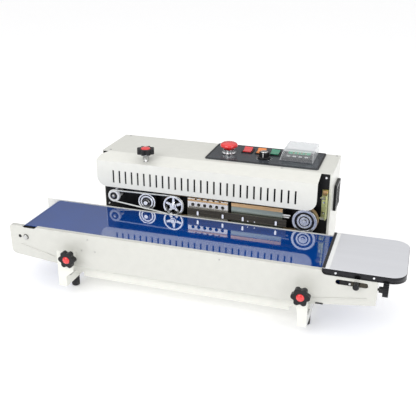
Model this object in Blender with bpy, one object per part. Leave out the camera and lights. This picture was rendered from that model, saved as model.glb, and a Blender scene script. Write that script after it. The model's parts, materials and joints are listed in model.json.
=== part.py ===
"""Continuous band sealer: a bench machine that carries bags along a belt and welds their mouths.

Frame: origin on the bench, under the middle of the bounding box. +X runs along the belt towards the
infeed tray, +Y runs away from the operator, +Z is up. Sizes below are millimetres; MM makes them metres.
"""
import bpy
import bmesh
from math import acos, atan2, cos, hypot, pi, radians, sin
from mathutils import Matrix, Vector

MM = 0.001
GAP = 0.3                       # clearance between faces that touch
PAST = 5.0                      # how far a cutting tool runs past the face it cuts
SHEET = 1.5                     # sheet metal thickness

# Overall box
HALF_LENGTH = 420.0
Y_FRONT = -188.0                # front of the red caps on the clamp knobs
Y_BACK = 188.0                  # back of the mains inlet

# Conveyor
SKIRT_TOP = 143.0
SKIRT_Y = -150.0                # front face of the front skirt
SKIRT_BOTTOM = 65.0
SKIRT_END_X = 370.0
SKIRT_TAPER_X = (-312.0, 240.0)
SKIRT_NOTCH_X = (-389.0, -356.0)
REAR_RAIL_Y = 11.0
REAR_RAIL_BOTTOM = 85.0
BELT_TOP = 142.0
BELT_Y = (-139.5, 10.0)
BELT_THICK = 2.0
BED_FLANGE_Z = 118.0
DRIVE_ROLLER_X, DRIVE_ROLLER_R = -381.5, 21.5
TENSION_ROLLER_X, TENSION_ROLLER_R = 331.0, 17.0
SHAFT_R = 6.0
TENSION_SHAFT_R = 4.9
TENSION_NUT_R = 5.8
TENSION_SLOT = (296.5, 348.0)   # centres of the slot's round ends
TENSION_SLOT_R = 5.3
TENSION_Y = -144.0              # axis of the tension screw
TENSION_Z = 116.5
TENSION_KNOB_R = 13.0
TRAY_X = 264.0
TRAY_Y = (-151.5, 20.0)
TRAY_TOP = 148.0
TRAY_DROP = 13.0
TRAY_R = 30.0
TRAY_SHEET = 1.2

# Base
RAIL_W = 19.0
RAIL_Z = (24.7, 42.7)
RAIL_Y = (-172.0, 170.0)
RAIL_WALL = 2.0
PLATE_T = 2.5                   # the upright plate at each rail's front
FOOT_Y = (-118.0, 140.0)
FOOT_R = 9.3
CLAMP_Z = 95.0
CLAMP_KNOB_R = 19.0
STUD_R = 3.0
RAILS = {"left": -286.0, "right": 235.5}
CLAMPS = {"left": -267.0, "right": 231.5}
BASE_Z = (34.0, 57.0)
BASE_X = (-291.0, 245.0)
BASE_Y = (-133.0, 183.0)
BASE_FLANGE_X = (-255.0, 203.0)

# Head
HEAD_X = (-287.0, 247.0)
HEAD_Y = (53.0, 183.0)
HEAD_TOP = 265.0
PLATE_THICK = 3.0
PLATE_X = (HEAD_X[0] + SHEET + GAP, 241.7)
HOOD_X = (-283.0, 223.0)
HOOD_Y = 10.0
HOOD_Z = (193.0, 255.0)
HOOD_CORNER_R = 22.0
SLOT_COUNT = 29
SLOT_PITCH = 15.0
SLOT_FIRST_X = -242.0
SLOT_Z = (204.0, 234.0)
SLOT_W = 4.0

# Sealing train
NIP_Z = 134.5
DRIVE_X, DRIVE_R = -102.0, 24.2
DRIVEN_X, DRIVEN_R = 198.0, 27.2
EMBOSS_X, EMBOSS_R = -169.0, 21.0
EMBOSS_LIFT = 3.2               # the coding wheel rests this far off the nip
PULLEY_X, PULLEY_R = -249.0, 14.0
PULLEY_LIFT = 32.0
BAND_CLEAR = 0.5                # wheel rim to band
BAND_THICK = 0.5
BAND_Y = (26.5, 39.0)
ROPE_Y = 23.3
ROPE_R = 1.7
ROPE_ON_DRIVE = 23.2
ROPE_ON_PULLEY = 13.2
WHEEL_BACK_Y = 40.0
SHAFT_BACK_Y = 66.0
BLOCK_Y = (22.0, 47.0)
BLOCK_HALF_GAP = 1.0
BLOCK_H = 48.5
COOL_X = (-67.0, 27.0)
COOL_BORES = 6
COOL_PITCH = 14.0
HEAT_X = (35.0, 150.0)
STRIP_X = (-66.0, 160.0)
STRIP_Y = (16.0, 19.0)
GEAR_TEETH = 16
GEAR_Y = (60.0, 68.0)
MOTOR_ANGLE = -15.0             # direction of the motor gear seen from the lower drive gear
MOTOR_Y = (72.0, 108.0)
MOTOR_HALF = 33.0

# Control panel
PANEL_X = (-42.0, 214.0)
PANEL_Y = (66.0, 181.0)
PANEL_THICK = 2.0
PANEL_TOP = HEAD_TOP + GAP + PANEL_THICK
ESTOP_AT = (1.0, 115.0)
ROCKER_X = (39.0, 71.0, 103.0)
ROCKER_Y = 142.0
ROCKER_TILT = 10.0              # each rocker rests with its near half pressed
SPEED_AT = (86.0, 104.0)
CONTROLLER_X = (125.0, 191.0)
CONTROLLER_Y = (108.0, 172.0)
CONTROLLER_DEPTH = 55.0
COVER_X = (121.0, 196.0)
COVER_Y = (102.0, 175.0)
COVER_H = 23.5
PRESSURE_AT = (-167.0, 26.0)

# Fan and inlet
FAN_AT = (125.0, 193.0)         # Y, Z of the fan's axis
FAN_SIZE = 60.0
FAN_DEPTH = 25.0
FAN_BORE_R = 27.0
INLET_AT = (180.0, 90.0)        # X, Z


# ---------------------------------------------------------------- helpers

def clear_scene():
    for obj in list(bpy.data.objects):
        bpy.data.objects.remove(obj)


def make_material(name, color, roughness, metallic=0.0, alpha=1.0):
    material = bpy.data.materials.new(name)
    material.use_nodes = True
    shader = material.node_tree.nodes["Principled BSDF"]
    shader.inputs["Base Color"].default_value = (*color, 1.0)
    shader.inputs["Roughness"].default_value = roughness
    shader.inputs["Metallic"].default_value = metallic
    shader.inputs["Alpha"].default_value = alpha
    return material


def to_object(name, bm, material=None, at=(0, 0, 0), smooth=False):
    bmesh.ops.recalc_face_normals(bm, faces=bm.faces)
    bmesh.ops.scale(bm, vec=(MM, MM, MM), verts=bm.verts)
    mesh = bpy.data.meshes.new(name)
    bm.to_mesh(mesh)
    bm.free()
    if smooth:
        mesh.shade_smooth()
        mesh.set_sharp_from_angle(angle=radians(35))
    if material:
        mesh.materials.append(material)
    obj = bpy.data.objects.new(name, mesh)
    obj.location = Vector(at) * MM
    bpy.context.collection.objects.link(obj)
    return obj


def as_tool(obj):
    obj.hide_render = True
    obj.display_type = 'WIRE'
    return obj


def combine(obj, operation, tools):
    for tool in tools:
        modifier = obj.modifiers.new(tool.name, 'BOOLEAN')
        modifier.operation = operation
        modifier.object = as_tool(tool)
    return obj


def cut(obj, *tools):
    return combine(obj, 'DIFFERENCE', tools)


def weld(obj, *tools):
    return combine(obj, 'UNION', tools)


def place(axis, u, v, w):
    """A point given in the plane across axis (u, v) and along it (w)."""
    return {"X": (w, u, v), "Y": (u, w, v), "Z": (u, v, w)}[axis]


def add_box(bm, low, high):
    size = [b - a for a, b in zip(low, high)]
    middle = [(a + b) / 2 for a, b in zip(low, high)]
    matrix = Matrix.Translation(middle) @ Matrix.Diagonal((*size, 1.0))
    bmesh.ops.create_cube(bm, size=1.0, matrix=matrix)


def add_prism(bm, outline, axis, low, high):
    face = bm.faces.new([bm.verts.new(place(axis, u, v, low)) for u, v in outline])
    raised = bmesh.ops.extrude_face_region(bm, geom=[face])["geom"]
    moved = [item for item in raised if isinstance(item, bmesh.types.BMVert)]
    bmesh.ops.translate(bm, verts=moved, vec=place(axis, 0, 0, high - low))


def add_turned(bm, profile, axis, segments=24, center=(0, 0)):
    """A solid of revolution from (radius, height) points, ending on the axis at both ends."""
    rings = []
    for radius, height in profile:
        if radius == 0:
            rings.append([bm.verts.new(place(axis, center[0], center[1], height))])
            continue
        angles = [2 * pi * i / segments for i in range(segments)]
        rings.append([bm.verts.new(place(axis, center[0] + radius * cos(a),
                                         center[1] + radius * sin(a), height)) for a in angles])
    for first, second in zip(rings, rings[1:]):
        for i in range(segments):
            corners = [first[i % len(first)], first[(i + 1) % len(first)],
                       second[(i + 1) % len(second)], second[i % len(second)]]
            bm.faces.new(list(dict.fromkeys(corners)))


def box(name, low, high, material=None):
    bm = bmesh.new()
    add_box(bm, low, high)
    return to_object(name, bm, material)


def boxes(name, corners, material=None):
    bm = bmesh.new()
    for low, high in corners:
        add_box(bm, low, high)
    return to_object(name, bm, material)


def prism(name, outline, axis, low, high, material=None, at=(0, 0, 0), smooth=False):
    bm = bmesh.new()
    add_prism(bm, outline, axis, low, high)
    return to_object(name, bm, material, at, smooth)


def turned(name, profile, axis, material=None, at=(0, 0, 0), segments=20):
    bm = bmesh.new()
    add_turned(bm, profile, axis, segments)
    return to_object(name, bm, material, at, smooth=True)


def rod(name, radius, axis, center, low, high, segments=16, material=None):
    bm = bmesh.new()
    add_turned(bm, [(0, low), (radius, low), (radius, high), (0, high)], axis, segments, center)
    return to_object(name, bm, material, smooth=True)


def holes(name, radius, axis, centers, low, high, segments=16):
    bm = bmesh.new()
    for center in centers:
        add_turned(bm, [(0, low), (radius, low), (radius, high), (0, high)], axis, segments, center)
    return to_object(name, bm)


def arc(center, radius, start, end, steps):
    """Points along an arc, angles in degrees."""
    angles = [radians(start + (end - start) * i / steps) for i in range(steps + 1)]
    return [(center[0] + radius * cos(a), center[1] + radius * sin(a)) for a in angles]


def rounded_rectangle(x, y, radii, steps=4):
    """Corner radii go round from low x, low y: zero keeps a corner sharp."""
    corners = [(x[0], y[0], 1, 1, 180), (x[1], y[0], -1, 1, 270),
               (x[1], y[1], -1, -1, 0), (x[0], y[1], 1, -1, 90)]
    points = []
    for (cx, cy, sx, sy, start), radius in zip(corners, radii):
        if radius:
            points += arc((cx + sx * radius, cy + sy * radius), radius, start, start + 90, steps)
        else:
            points.append((cx, cy))
    return points


def slot_outline(start_x, end_x, z, radius, steps=6):
    return arc((end_x, z), radius, -90, 90, steps) + arc((start_x, z), radius, 90, 270, steps)


def loop_outline(first, first_r, second, second_r, steps):
    """The outer tangent loop round two circles, anticlockwise; second lies to the right of first."""
    dx, dy = second[0] - first[0], second[1] - first[1]
    tilt = atan2(dy, dx)
    spread = acos((first_r - second_r) / hypot(dx, dy))
    upper = (tilt + spread) * 180 / pi
    lower = (tilt - spread) * 180 / pi
    return arc(second, second_r, lower, upper, steps) + arc(first, first_r, upper, lower + 360, steps)


def star_outline(radius, depth, lobes, steps=5):
    count = lobes * steps
    angles = [2 * pi * i / count for i in range(count)]
    return [((radius - depth / 2 + depth / 2 * cos(lobes * a)) * cos(a),
             (radius - depth / 2 + depth / 2 * cos(lobes * a)) * sin(a)) for a in angles]


def gear_outline(pitch_r, teeth, phase):
    """Straight-sided teeth with generous backlash; phase is one tooth's angle in degrees."""
    module = 2 * pitch_r / teeth
    step = 2 * pi / teeth
    points = []
    for k in range(teeth):
        middle = radians(phase) + k * step
        for radius, share in ((pitch_r - 1.15 * module, -0.27), (pitch_r + 0.8 * module, -0.11),
                              (pitch_r + 0.8 * module, 0.11), (pitch_r - 1.15 * module, 0.27)):
            angle = middle + share * step
            points.append((radius * cos(angle), radius * sin(angle)))
    return points


def mirrored_z(z):
    return 2 * NIP_Z - z


# ---------------------------------------------------------------- derived places

DRIVE_Z = NIP_Z + DRIVE_R + BAND_CLEAR + BAND_THICK + 0.1
DRIVEN_Z = NIP_Z + DRIVEN_R + BAND_CLEAR + BAND_THICK + 0.1
EMBOSS_Z = NIP_Z + EMBOSS_R + EMBOSS_LIFT
PULLEY_Z = NIP_Z + PULLEY_LIFT
GEAR_R = DRIVE_Z - NIP_Z
MOTOR_X = DRIVE_X + 2 * GEAR_R * cos(radians(MOTOR_ANGLE))
MOTOR_Z = mirrored_z(DRIVE_Z) + 2 * GEAR_R * sin(radians(MOTOR_ANGLE))
DRIVE_ROLLER_Z = BELT_TOP - BELT_THICK - GAP - DRIVE_ROLLER_R
TENSION_ROLLER_Z = BELT_TOP - BELT_THICK - GAP - TENSION_ROLLER_R
WHEEL_AXES = [(x, z) for x, upper in ((DRIVE_X, DRIVE_Z), (DRIVEN_X, DRIVEN_Z), (EMBOSS_X, EMBOSS_Z),
                                      (PULLEY_X, PULLEY_Z)) for z in (upper, mirrored_z(upper))]


# ---------------------------------------------------------------- base

def build_base_plate(m):
    """A folded pan, open below; its end flanges stand on the two rails."""
    (x0, x1), (y0, y1), (z0, z1) = BASE_X, BASE_Y, BASE_Z
    rail_top = RAIL_Z[1] + GAP
    plate = box("base_plate", (x0, y0, z0), (x1, y1, z1), m["cream"])
    inner = box("base_inner", (x0 + SHEET, y0 + SHEET, z0 - PAST), (x1 - SHEET, y1 - SHEET, z1 - 2))
    ends = boxes("base_ends", [
        ((x0 - PAST, y0 - PAST, z0 - PAST), (BASE_FLANGE_X[0], y1 + PAST, rail_top)),
        ((BASE_FLANGE_X[1], y0 - PAST, z0 - PAST), (x1 + PAST, y1 + PAST, rail_top))])
    cut(plate, inner, ends)


def build_rail(side, m):
    """A channel, open below, with an upright front plate whose slot takes the clamp knob's stud."""
    x, clamp, half = RAILS[side], CLAMPS[side], RAIL_W / 2
    (y0, y1), (z0, z1) = RAIL_Y, RAIL_Z
    inward = 1 if side == "left" else -1
    rail = box("rail_" + side, (x - half, y0, z0), (x + half, y1, z1), m["cream"])
    hollow = box(rail.name + "_hollow", (x - half + RAIL_WALL, y0 + PLATE_T, z0 - PAST),
                 (x + half - RAIL_WALL, y1 + PAST, z1 - RAIL_WALL))
    outer, inner, ear = x - inward * half, x + inward * half, clamp + inward * 8
    outline = [(outer, z1 - 3), (inner, z1 - 3), (inner, CLAMP_Z - 46)]
    if (ear - inner) * inward > 0:
        outline += [(ear, CLAMP_Z - 32), (ear, CLAMP_Z + 12)]
    else:
        outline += [(inner, CLAMP_Z + 12)]
    outline += [(outer, CLAMP_Z + 12)]
    plate = prism(rail.name + "_plate", outline, "Y", y0, y0 + PLATE_T)
    gusset = prism(rail.name + "_gusset", [(y0 + 1, z1 - 2), (SKIRT_Y - 1, z1 - 2), (y0 + 1, CLAMP_Z - 40)],
                   "X", x + half - RAIL_WALL, x + half)
    slot = box(rail.name + "_slot", (clamp - 3.4, y0 - PAST, CLAMP_Z - 19),
               (clamp + 3.4, y0 + 8, CLAMP_Z + 4))
    cut(rail, hollow)
    weld(rail, plate, gusset)
    cut(rail, slot)


def build_feet(m):
    """Rubber posts, each on a stud that reaches the web inside its rail."""
    top, stud_top = RAIL_Z[0] - GAP, RAIL_Z[1] - RAIL_WALL - GAP
    for side, x in RAILS.items():
        for end, y in zip(("front", "rear"), FOOT_Y):
            profile = [(0, 0), (FOOT_R - 2, 0), (FOOT_R - 0.8, 1.5), (FOOT_R, top), (4, top),
                       (4, stud_top), (0, stud_top)]
            turned(f"foot_{end}_{side}", profile, "Z", m["rubber"], (x, y, 0), 16)


# ---------------------------------------------------------------- conveyor

def build_front_skirt(m):
    """The long front sheet: a lip over the belt's edge, tapered ends, bosses for the clamp studs."""
    y0, y1 = SKIRT_Y, SKIRT_Y + SHEET
    lip_y = BELT_Y[0] - 0.5
    left, right, top, bottom = -HALF_LENGTH, SKIRT_END_X, SKIRT_TOP, SKIRT_BOTTOM
    profile = [(y0, bottom), (y1, bottom), (y1, top - SHEET), (lip_y, top - SHEET), (lip_y, top), (y0, top)]
    skirt = prism("front_skirt", profile, "X", left, right, m["cream"])
    end_flange = box("skirt_end_flange", (right - SHEET, y0 + 0.5, 90), (right, BELT_Y[0] + 6, top - 0.5))
    clamps = [(x, CLAMP_Z) for x in CLAMPS.values()]
    bosses = holes("skirt_bosses", 7, "Y", clamps, RAIL_Y[0] + PLATE_T + GAP, y1 - 0.5)
    weld(skirt, end_flange, bosses)
    corner_r, end_z = 12.0, 86.0
    tapers = bmesh.new()
    left_taper = [(left - PAST, 50), (left - PAST, end_z)]
    left_taper += arc((left + corner_r, end_z), corner_r, 180, 262, 4)
    left_taper += [(SKIRT_TAPER_X[0], bottom), (SKIRT_TAPER_X[0], 50)]
    add_prism(tapers, left_taper, "Y", y0 - PAST, y1 + 30)
    add_prism(tapers, [(SKIRT_TAPER_X[1], bottom), (SKIRT_TAPER_X[1], 50), (right + PAST, 50),
                       (right + PAST, 84)], "Y", y0 - PAST, y1 + 30)
    r = 5.0
    corner = [(left - PAST, top + PAST), (left - PAST, top - r)]
    corner += arc((left + r, top - r), r, 180, 90, 4) + [(left + r, top + PAST)]
    n0, n1 = SKIRT_NOTCH_X
    notch = prism("skirt_notch", [(n0, top + PAST), (n0, top - 1), (n0 + 4, top - 3.5), (n1 - 5, top - 3.5),
                                  (n1, top - 1), (n1, top + PAST)], "Y", y0 - PAST, y1 + 20)
    shaft_hole = holes("skirt_hole", SHAFT_R + GAP, "Y", [(DRIVE_ROLLER_X, DRIVE_ROLLER_Z)],
                       y0 - PAST, y1 + PAST)
    side_hole = holes("skirt_side_hole", 4, "Y", [(DRIVE_ROLLER_X - 15, DRIVE_ROLLER_Z)],
                      y0 - PAST, y1 + PAST)
    slot = prism("skirt_slot", slot_outline(*TENSION_SLOT, TENSION_ROLLER_Z, TENSION_SLOT_R), "Y",
                 y0 - PAST, y1 + PAST)
    stud_holes = holes("skirt_stud_holes", STUD_R + GAP, "Y", clamps, RAIL_Y[0] - PAST, y0 - 1)
    screw_hole = holes("skirt_screw_hole", 3.2, "X", [(TENSION_Y, TENSION_Z)], right - 8, right + PAST)
    cut(skirt, to_object("skirt_tapers", tapers), prism("skirt_corner", corner, "Y", y0 - PAST, y1 + 20),
        notch, shaft_hole, side_hole, slot, stud_holes, screw_hole)


def build_rear_rail(m):
    y0, y1 = REAR_RAIL_Y, REAR_RAIL_Y + SHEET
    rail = box("rear_rail", (-HALF_LENGTH, y0, REAR_RAIL_BOTTOM), (SKIRT_END_X, y1, SKIRT_TOP + 0.5),
               m["cream"])
    shaft_hole = holes("rear_rail_hole", SHAFT_R + GAP, "Y", [(DRIVE_ROLLER_X, DRIVE_ROLLER_Z)],
                       y0 - PAST, y1 + PAST)
    slot = prism("rear_rail_slot", slot_outline(*TENSION_SLOT, TENSION_ROLLER_Z, TENSION_SLOT_R), "Y",
                 y0 - PAST, y1 + PAST)
    cut(rail, shaft_hole, slot)


def build_bed(m):
    """The plate that the belt's upper run slides on, with a flange down each side."""
    y0, y1 = SKIRT_Y + SHEET + GAP, REAR_RAIL_Y - GAP
    top, low = BELT_TOP - BELT_THICK - 1, BED_FLANGE_Z
    under = top - 2.5
    profile = [(y0, low), (y0 + SHEET, low), (y0 + SHEET, under), (y1 - SHEET, under), (y1 - SHEET, low),
               (y1, low), (y1, top), (y0, top)]
    prism("belt_bed", profile, "X", DRIVE_ROLLER_X + 28, TENSION_SLOT[0] - 10, m["steel"])


def build_belt(m):
    drive, tension = (DRIVE_ROLLER_X, DRIVE_ROLLER_Z), (TENSION_ROLLER_X, TENSION_ROLLER_Z)
    loops = [loop_outline(drive, DRIVE_ROLLER_R + out, tension, TENSION_ROLLER_R + out, 12)
             for out in (GAP + BELT_THICK, GAP)]
    belt = prism("conveyor_belt", loops[0], "Y", *BELT_Y, m["belt"], smooth=True)
    cut(belt, prism("belt_inside", loops[1], "Y", BELT_Y[0] - PAST, BELT_Y[1] + PAST))


def build_rollers(m):
    y0, y1 = BELT_Y[0] + 1.5, BELT_Y[1] - 1.5
    nut_back, back = SKIRT_Y - 0.5, REAR_RAIL_Y + SHEET + 3
    r, front = DRIVE_ROLLER_R - GAP, SKIRT_Y - 4.5
    drive = [(0, front), (5, front), (5, nut_back), (SHAFT_R, nut_back), (SHAFT_R, y0), (r, y0), (r, y1),
             (SHAFT_R, y1), (SHAFT_R, back), (0, back)]
    turned("drive_roller", drive, "Y", m["steel"], (DRIVE_ROLLER_X, 0, DRIVE_ROLLER_Z))
    r, s, front = TENSION_ROLLER_R - GAP, TENSION_SHAFT_R, SKIRT_Y - 14
    tension = [(0, front), (TENSION_NUT_R - 1, front), (TENSION_NUT_R, front + 1),
               (TENSION_NUT_R, nut_back), (s, nut_back), (s, y0), (r, y0), (r, y1), (s, y1), (s, back),
               (0, back)]
    turned("tension_roller", tension, "Y", m["steel"], (TENSION_ROLLER_X, 0, TENSION_ROLLER_Z))


def build_tension_parts(m):
    """The block that carries the tension roller's shaft, and the knob whose screw pulls it."""
    x, z = TENSION_ROLLER_X, TENSION_ROLLER_Z
    y0, y1 = SKIRT_Y + SHEET + GAP, BELT_Y[0] - GAP
    screw_r = 2.5
    block = box("tension_block", (x - 10, y0, TENSION_Z - 7), (x + 21, y1, z + 8.5), m["steel"])
    shaft_hole = holes("block_shaft_hole", TENSION_SHAFT_R + GAP, "Y", [(x, z)], y0 - PAST, y1 + PAST)
    screw_hole = holes("block_screw_hole", screw_r + 0.4, "X", [(TENSION_Y, TENSION_Z)], x + 8, x + 30)
    cut(block, shaft_hole, screw_hole)
    end, r = SKIRT_END_X, TENSION_KNOB_R
    profile = [(0, x + 9), (screw_r, x + 9), (screw_r, end + 2), (9, end + 3), (9, end + 9),
               (r - 1, end + 9), (r, end + 10), (r, end + 19), (r - 1.5, end + 20.5), (0, end + 20.5)]
    turned("tension_knob", profile, "X", m["black"], (0, TENSION_Y, TENSION_Z), 16)


def build_tray(m):
    """A flanged sheet with two round corners; its low-X edge turns down to just above the belt."""
    x, y, wall = (TRAY_X, HALF_LENGTH), TRAY_Y, TRAY_SHEET
    bottom = TRAY_TOP - TRAY_DROP
    tray = prism("infeed_tray", rounded_rectangle(x, y, (0, TRAY_R, TRAY_R, 0), 6), "Z", bottom, TRAY_TOP,
                 m["stainless"], smooth=True)
    r = TRAY_R - wall
    inner = rounded_rectangle((x[0] + wall, x[1] - wall), (y[0] + wall, y[1] - wall), (0, r, r, 0), 6)
    under = prism("tray_under", inner, "Z", bottom - PAST, TRAY_TOP - wall)
    over_belt = box("tray_over_belt", (x[0] - PAST, y[0] + wall, bottom - PAST),
                    (x[0] + wall + 1, y[1] - wall, SKIRT_TOP + 1))
    round_r = 9.0
    corner = [(x[0] - PAST, bottom - PAST), (x[0] + round_r, bottom - PAST), (x[0] + round_r, bottom)]
    corner += arc((x[0] + round_r, bottom + round_r), round_r, 270, 180, 5)[1:]
    corner += [(x[0] - PAST, bottom + round_r)]
    corners = bmesh.new()
    for face_y in (y[0], y[1] - wall):
        add_prism(corners, corner, "Y", face_y - 1, face_y + wall + 1)
    cut(tray, under, over_belt, to_object("tray_corners", corners))


def build_clamp_knobs(m):
    face, star_front = RAIL_Y[0] - GAP, Y_FRONT + 3.5
    cap_profile = [(0, Y_FRONT), (6.5, Y_FRONT), (8, Y_FRONT + 1.5), (8, Y_FRONT + 5), (0, Y_FRONT + 5)]
    for side, x in CLAMPS.items():
        at = (x, 0, CLAMP_Z)
        knob = prism("clamp_knob_" + side, star_outline(CLAMP_KNOB_R, 3.5, 6), "Y", star_front, face,
                     m["black"], at, True)
        cap = turned(knob.name + "_cap", cap_profile, "Y", None, at, 16)
        stud = rod(knob.name + "_stud", STUD_R, "Y", (x, CLAMP_Z), face - 2, SKIRT_Y - 2, 12)
        weld(knob, cap, stud)


# ---------------------------------------------------------------- head

def build_casing(m):
    """The head's shell: two ends and a top, open in front, behind and below."""
    (x0, x1), (y0, y1), z0, z1 = HEAD_X, HEAD_Y, BASE_Z[1] + GAP, HEAD_TOP
    casing = box("head_casing", (x0, y0, z0), (x1, y1, z1), m["cream"])
    inner = box("casing_inner", (x0 + SHEET, y0 - PAST, z0 - PAST), (x1 - SHEET, y1 + PAST, z1 - SHEET))
    lip = box("casing_lip", (PLATE_X[1] + GAP, y0, z0), (x1 - 1, y0 + SHEET, z1 - 1))
    edge = 8.0
    top_opening = box("casing_top_opening", (PANEL_X[0] + edge, PANEL_Y[0] + edge, z1 - 8),
                      (PANEL_X[1] - edge, PANEL_Y[1] - edge, z1 + PAST))
    fan_hole = holes("casing_fan_hole", FAN_BORE_R, "X", [FAN_AT], x1 - 8, x1 + PAST, 20)
    cut(casing, inner)
    weld(casing, lip)
    cut(casing, top_opening, fan_hole)


def build_rear_panel(m):
    y = HEAD_Y[1] + GAP
    panel = box("rear_panel", (HEAD_X[0], y, BASE_Z[1] + GAP), (HEAD_X[1], y + SHEET, HEAD_TOP), m["cream"])
    x, z = INLET_AT
    cut(panel, box("rear_panel_hole", (x - 14.5, y - PAST, z - 10.5), (x + 14.5, y + PAST, z + 10.5)))


def build_front_plate(m):
    y0, y1 = HEAD_Y[0], HEAD_Y[0] + PLATE_THICK
    z = (BASE_Z[1] + GAP, HEAD_TOP - SHEET - GAP)
    plate = prism("front_plate", rounded_rectangle(PLATE_X, z, (0, 0, 6, 0), 4), "Y", y0, y1, m["black"])
    cut(plate, holes("plate_holes", SHAFT_R + GAP, "Y", WHEEL_AXES, y0 - PAST, y1 + PAST, 12))


def build_hood(m):
    """The sloping guard over the wheels: two round lower corners, a row of slots, a clipped top corner."""
    back, y, (z0, z1), (x0, x1) = HEAD_Y[0] - GAP, HOOD_Y, HOOD_Z, HOOD_X
    profile = [(y, z0), (y, z1), (back, HEAD_TOP), (back, HEAD_TOP - 1.55), (y + SHEET, z1 - 1.2),
               (y + SHEET, z0)]
    hood = prism("hood", profile, "X", x0, x1, m["cream"])
    r = HOOD_CORNER_R
    corners = bmesh.new()
    for edge, inward, end in ((x0, 1, 180), (x1, -1, 360)):
        outside = edge - inward * PAST
        outline = [(outside, z0 - PAST), (edge + inward * r, z0 - PAST)]
        outline += arc((edge + inward * r, z0 + r), r, 270, end, 6) + [(outside, z0 + r)]
        add_prism(corners, outline, "Y", y - PAST, y + 8)
    slots = [((x - SLOT_W / 2, y - PAST, SLOT_Z[0]), (x + SLOT_W / 2, y + 8, SLOT_Z[1]))
             for x in (SLOT_FIRST_X + k * SLOT_PITCH for k in range(SLOT_COUNT))]
    clip = prism("hood_clip", [(x0 - PAST, back + PAST), (x0 - PAST, back - 18), (x0, back - 18),
                               (x0 + 14, back), (x0 + 14, back + PAST)], "Z", z1 - 8, HEAD_TOP + PAST)
    stem_hole = holes("hood_stem_hole", 5.5, "Z", [PRESSURE_AT], z1 - PAST, HEAD_TOP + PAST)
    cut(hood, to_object("hood_corners", corners), boxes("hood_slots", slots), clip, stem_hole)


def build_fan(m):
    y, z = FAN_AT
    half, wall = FAN_SIZE / 2, HEAD_X[1] - SHEET - GAP
    sides = ((y - half, y + half), (z - half, z + half))
    frame = prism("fan_frame", rounded_rectangle(*sides, (5, 5, 5, 5), 2), "X", wall - FAN_DEPTH, wall,
                  m["black"])
    cut(frame, holes("fan_bore", FAN_BORE_R, "X", [FAN_AT], wall - FAN_DEPTH - PAST, wall + PAST, 20))
    middle, hub_r = (wall - FAN_DEPTH / 2, y, z), 12.0
    rotor = turned("fan_rotor", [(0, -9), (hub_r - 1, -9), (hub_r, -8), (hub_r, 8), (0, 8)], "X",
                   m["black"], middle, 16)
    for k in range(5):
        bm = bmesh.new()
        add_box(bm, (-1, -7, hub_r - 3), (1, 7, FAN_BORE_R - 2))
        bmesh.ops.rotate(bm, verts=bm.verts, matrix=Matrix.Rotation(radians(38), 3, 'Z'))
        bmesh.ops.rotate(bm, verts=bm.verts, matrix=Matrix.Rotation(2 * pi * k / 5, 3, 'X'))
        weld(rotor, to_object(f"fan_blade_{k}", bm, at=middle))
    face, depth = HEAD_X[1] + GAP, 6.0
    guard = prism("fan_guard", rounded_rectangle(*sides, (5, 5, 5, 5), 3), "X", face, face + depth,
                  m["black"])
    louvres = [((face - PAST, y - half + 7, middle_z - 3), (face + depth + PAST, y + half - 7, middle_z + 3))
               for middle_z in (z - 18, z - 9, z, z + 9, z + 18)]
    cut(guard, boxes("guard_louvres", louvres))


def build_inlet(m):
    (x, z), y = INLET_AT, HEAD_Y[1] + GAP + SHEET + GAP
    inlet = box("mains_inlet", (x - 24, y, z - 14), (x + 24, Y_BACK, z + 14), m["black"])
    body = box("inlet_body", (x - 14, y - 24, z - 10), (x + 14, y + 1, z + 10))
    socket = box("inlet_socket", (x - 12, y - 18, z - 8), (x + 12, Y_BACK + PAST, z + 8))
    weld(inlet, body)
    cut(inlet, socket)


def build_motor(m):
    """A square gearbox with the motor's round can behind it."""
    x, z, half = MOTOR_X, MOTOR_Z, MOTOR_HALF
    y0, y1 = MOTOR_Y
    motor = box("gear_motor", (x - half, y0, z - half), (x + half, y1, z + half), m["grey"])
    can = [(0, y1 - 8), (30, y1 - 8), (30, 172), (26, 176), (0, 176)]
    weld(motor, turned("motor_can", can, "Y", None, (x, 0, z), 20))


# ---------------------------------------------------------------- sealing train

def wheel_pair(name, profile, x, z, material, segments=20):
    """The same turned wheel above and below the nip."""
    return [turned(f"{name}_{row}", profile, "Y", material, (x, 0, height), segments)
            for row, height in (("upper", z), ("lower", mirrored_z(z)))]


def build_drive_wheels(m):
    """A rim with the rope's groove, a thin web with four windows, and a shaft to the gear."""
    r, back, end = DRIVE_R, WHEEL_BACK_Y, SHAFT_BACK_Y + 4
    rim = [(19, 27), (19, 20), (r, 20), (r, 21), (r - 3, 22), (r - 3, 24.6), (r, 25.6), (r, back), (19, back)]
    profile = [(0, 17), (8, 17), (8, 27)] + rim
    profile += [(19, 33), (8, 33), (8, 42), (SHAFT_R, 42), (SHAFT_R, end), (0, end)]
    for wheel in wheel_pair("drive_wheel", profile, DRIVE_X, DRIVE_Z, m["silver"]):
        windows = bmesh.new()
        for start in (15, 105, 195, 285):
            outline = arc((0, 0), 17, start, start + 60, 4) + arc((0, 0), 10, start + 60, start, 2)
            add_prism(windows, outline, "Y", 20, 38)
        cut(wheel, to_object(wheel.name + "_windows", windows, at=(wheel.location / MM)))


def build_driven_wheels(m):
    r, back = DRIVEN_R, WHEEL_BACK_Y
    profile = [(0, 15), (5, 15), (6, 16), (6, 19), (12, 19), (12, 24), (21, 24), (21, 20), (r, 20),
               (r, back), (21, back), (21, 34), (9, 34), (9, 42), (SHAFT_R, 42), (SHAFT_R, SHAFT_BACK_Y),
               (0, SHAFT_BACK_Y)]
    wheel_pair("driven_wheel", profile, DRIVEN_X, DRIVEN_Z, m["silver"])


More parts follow.
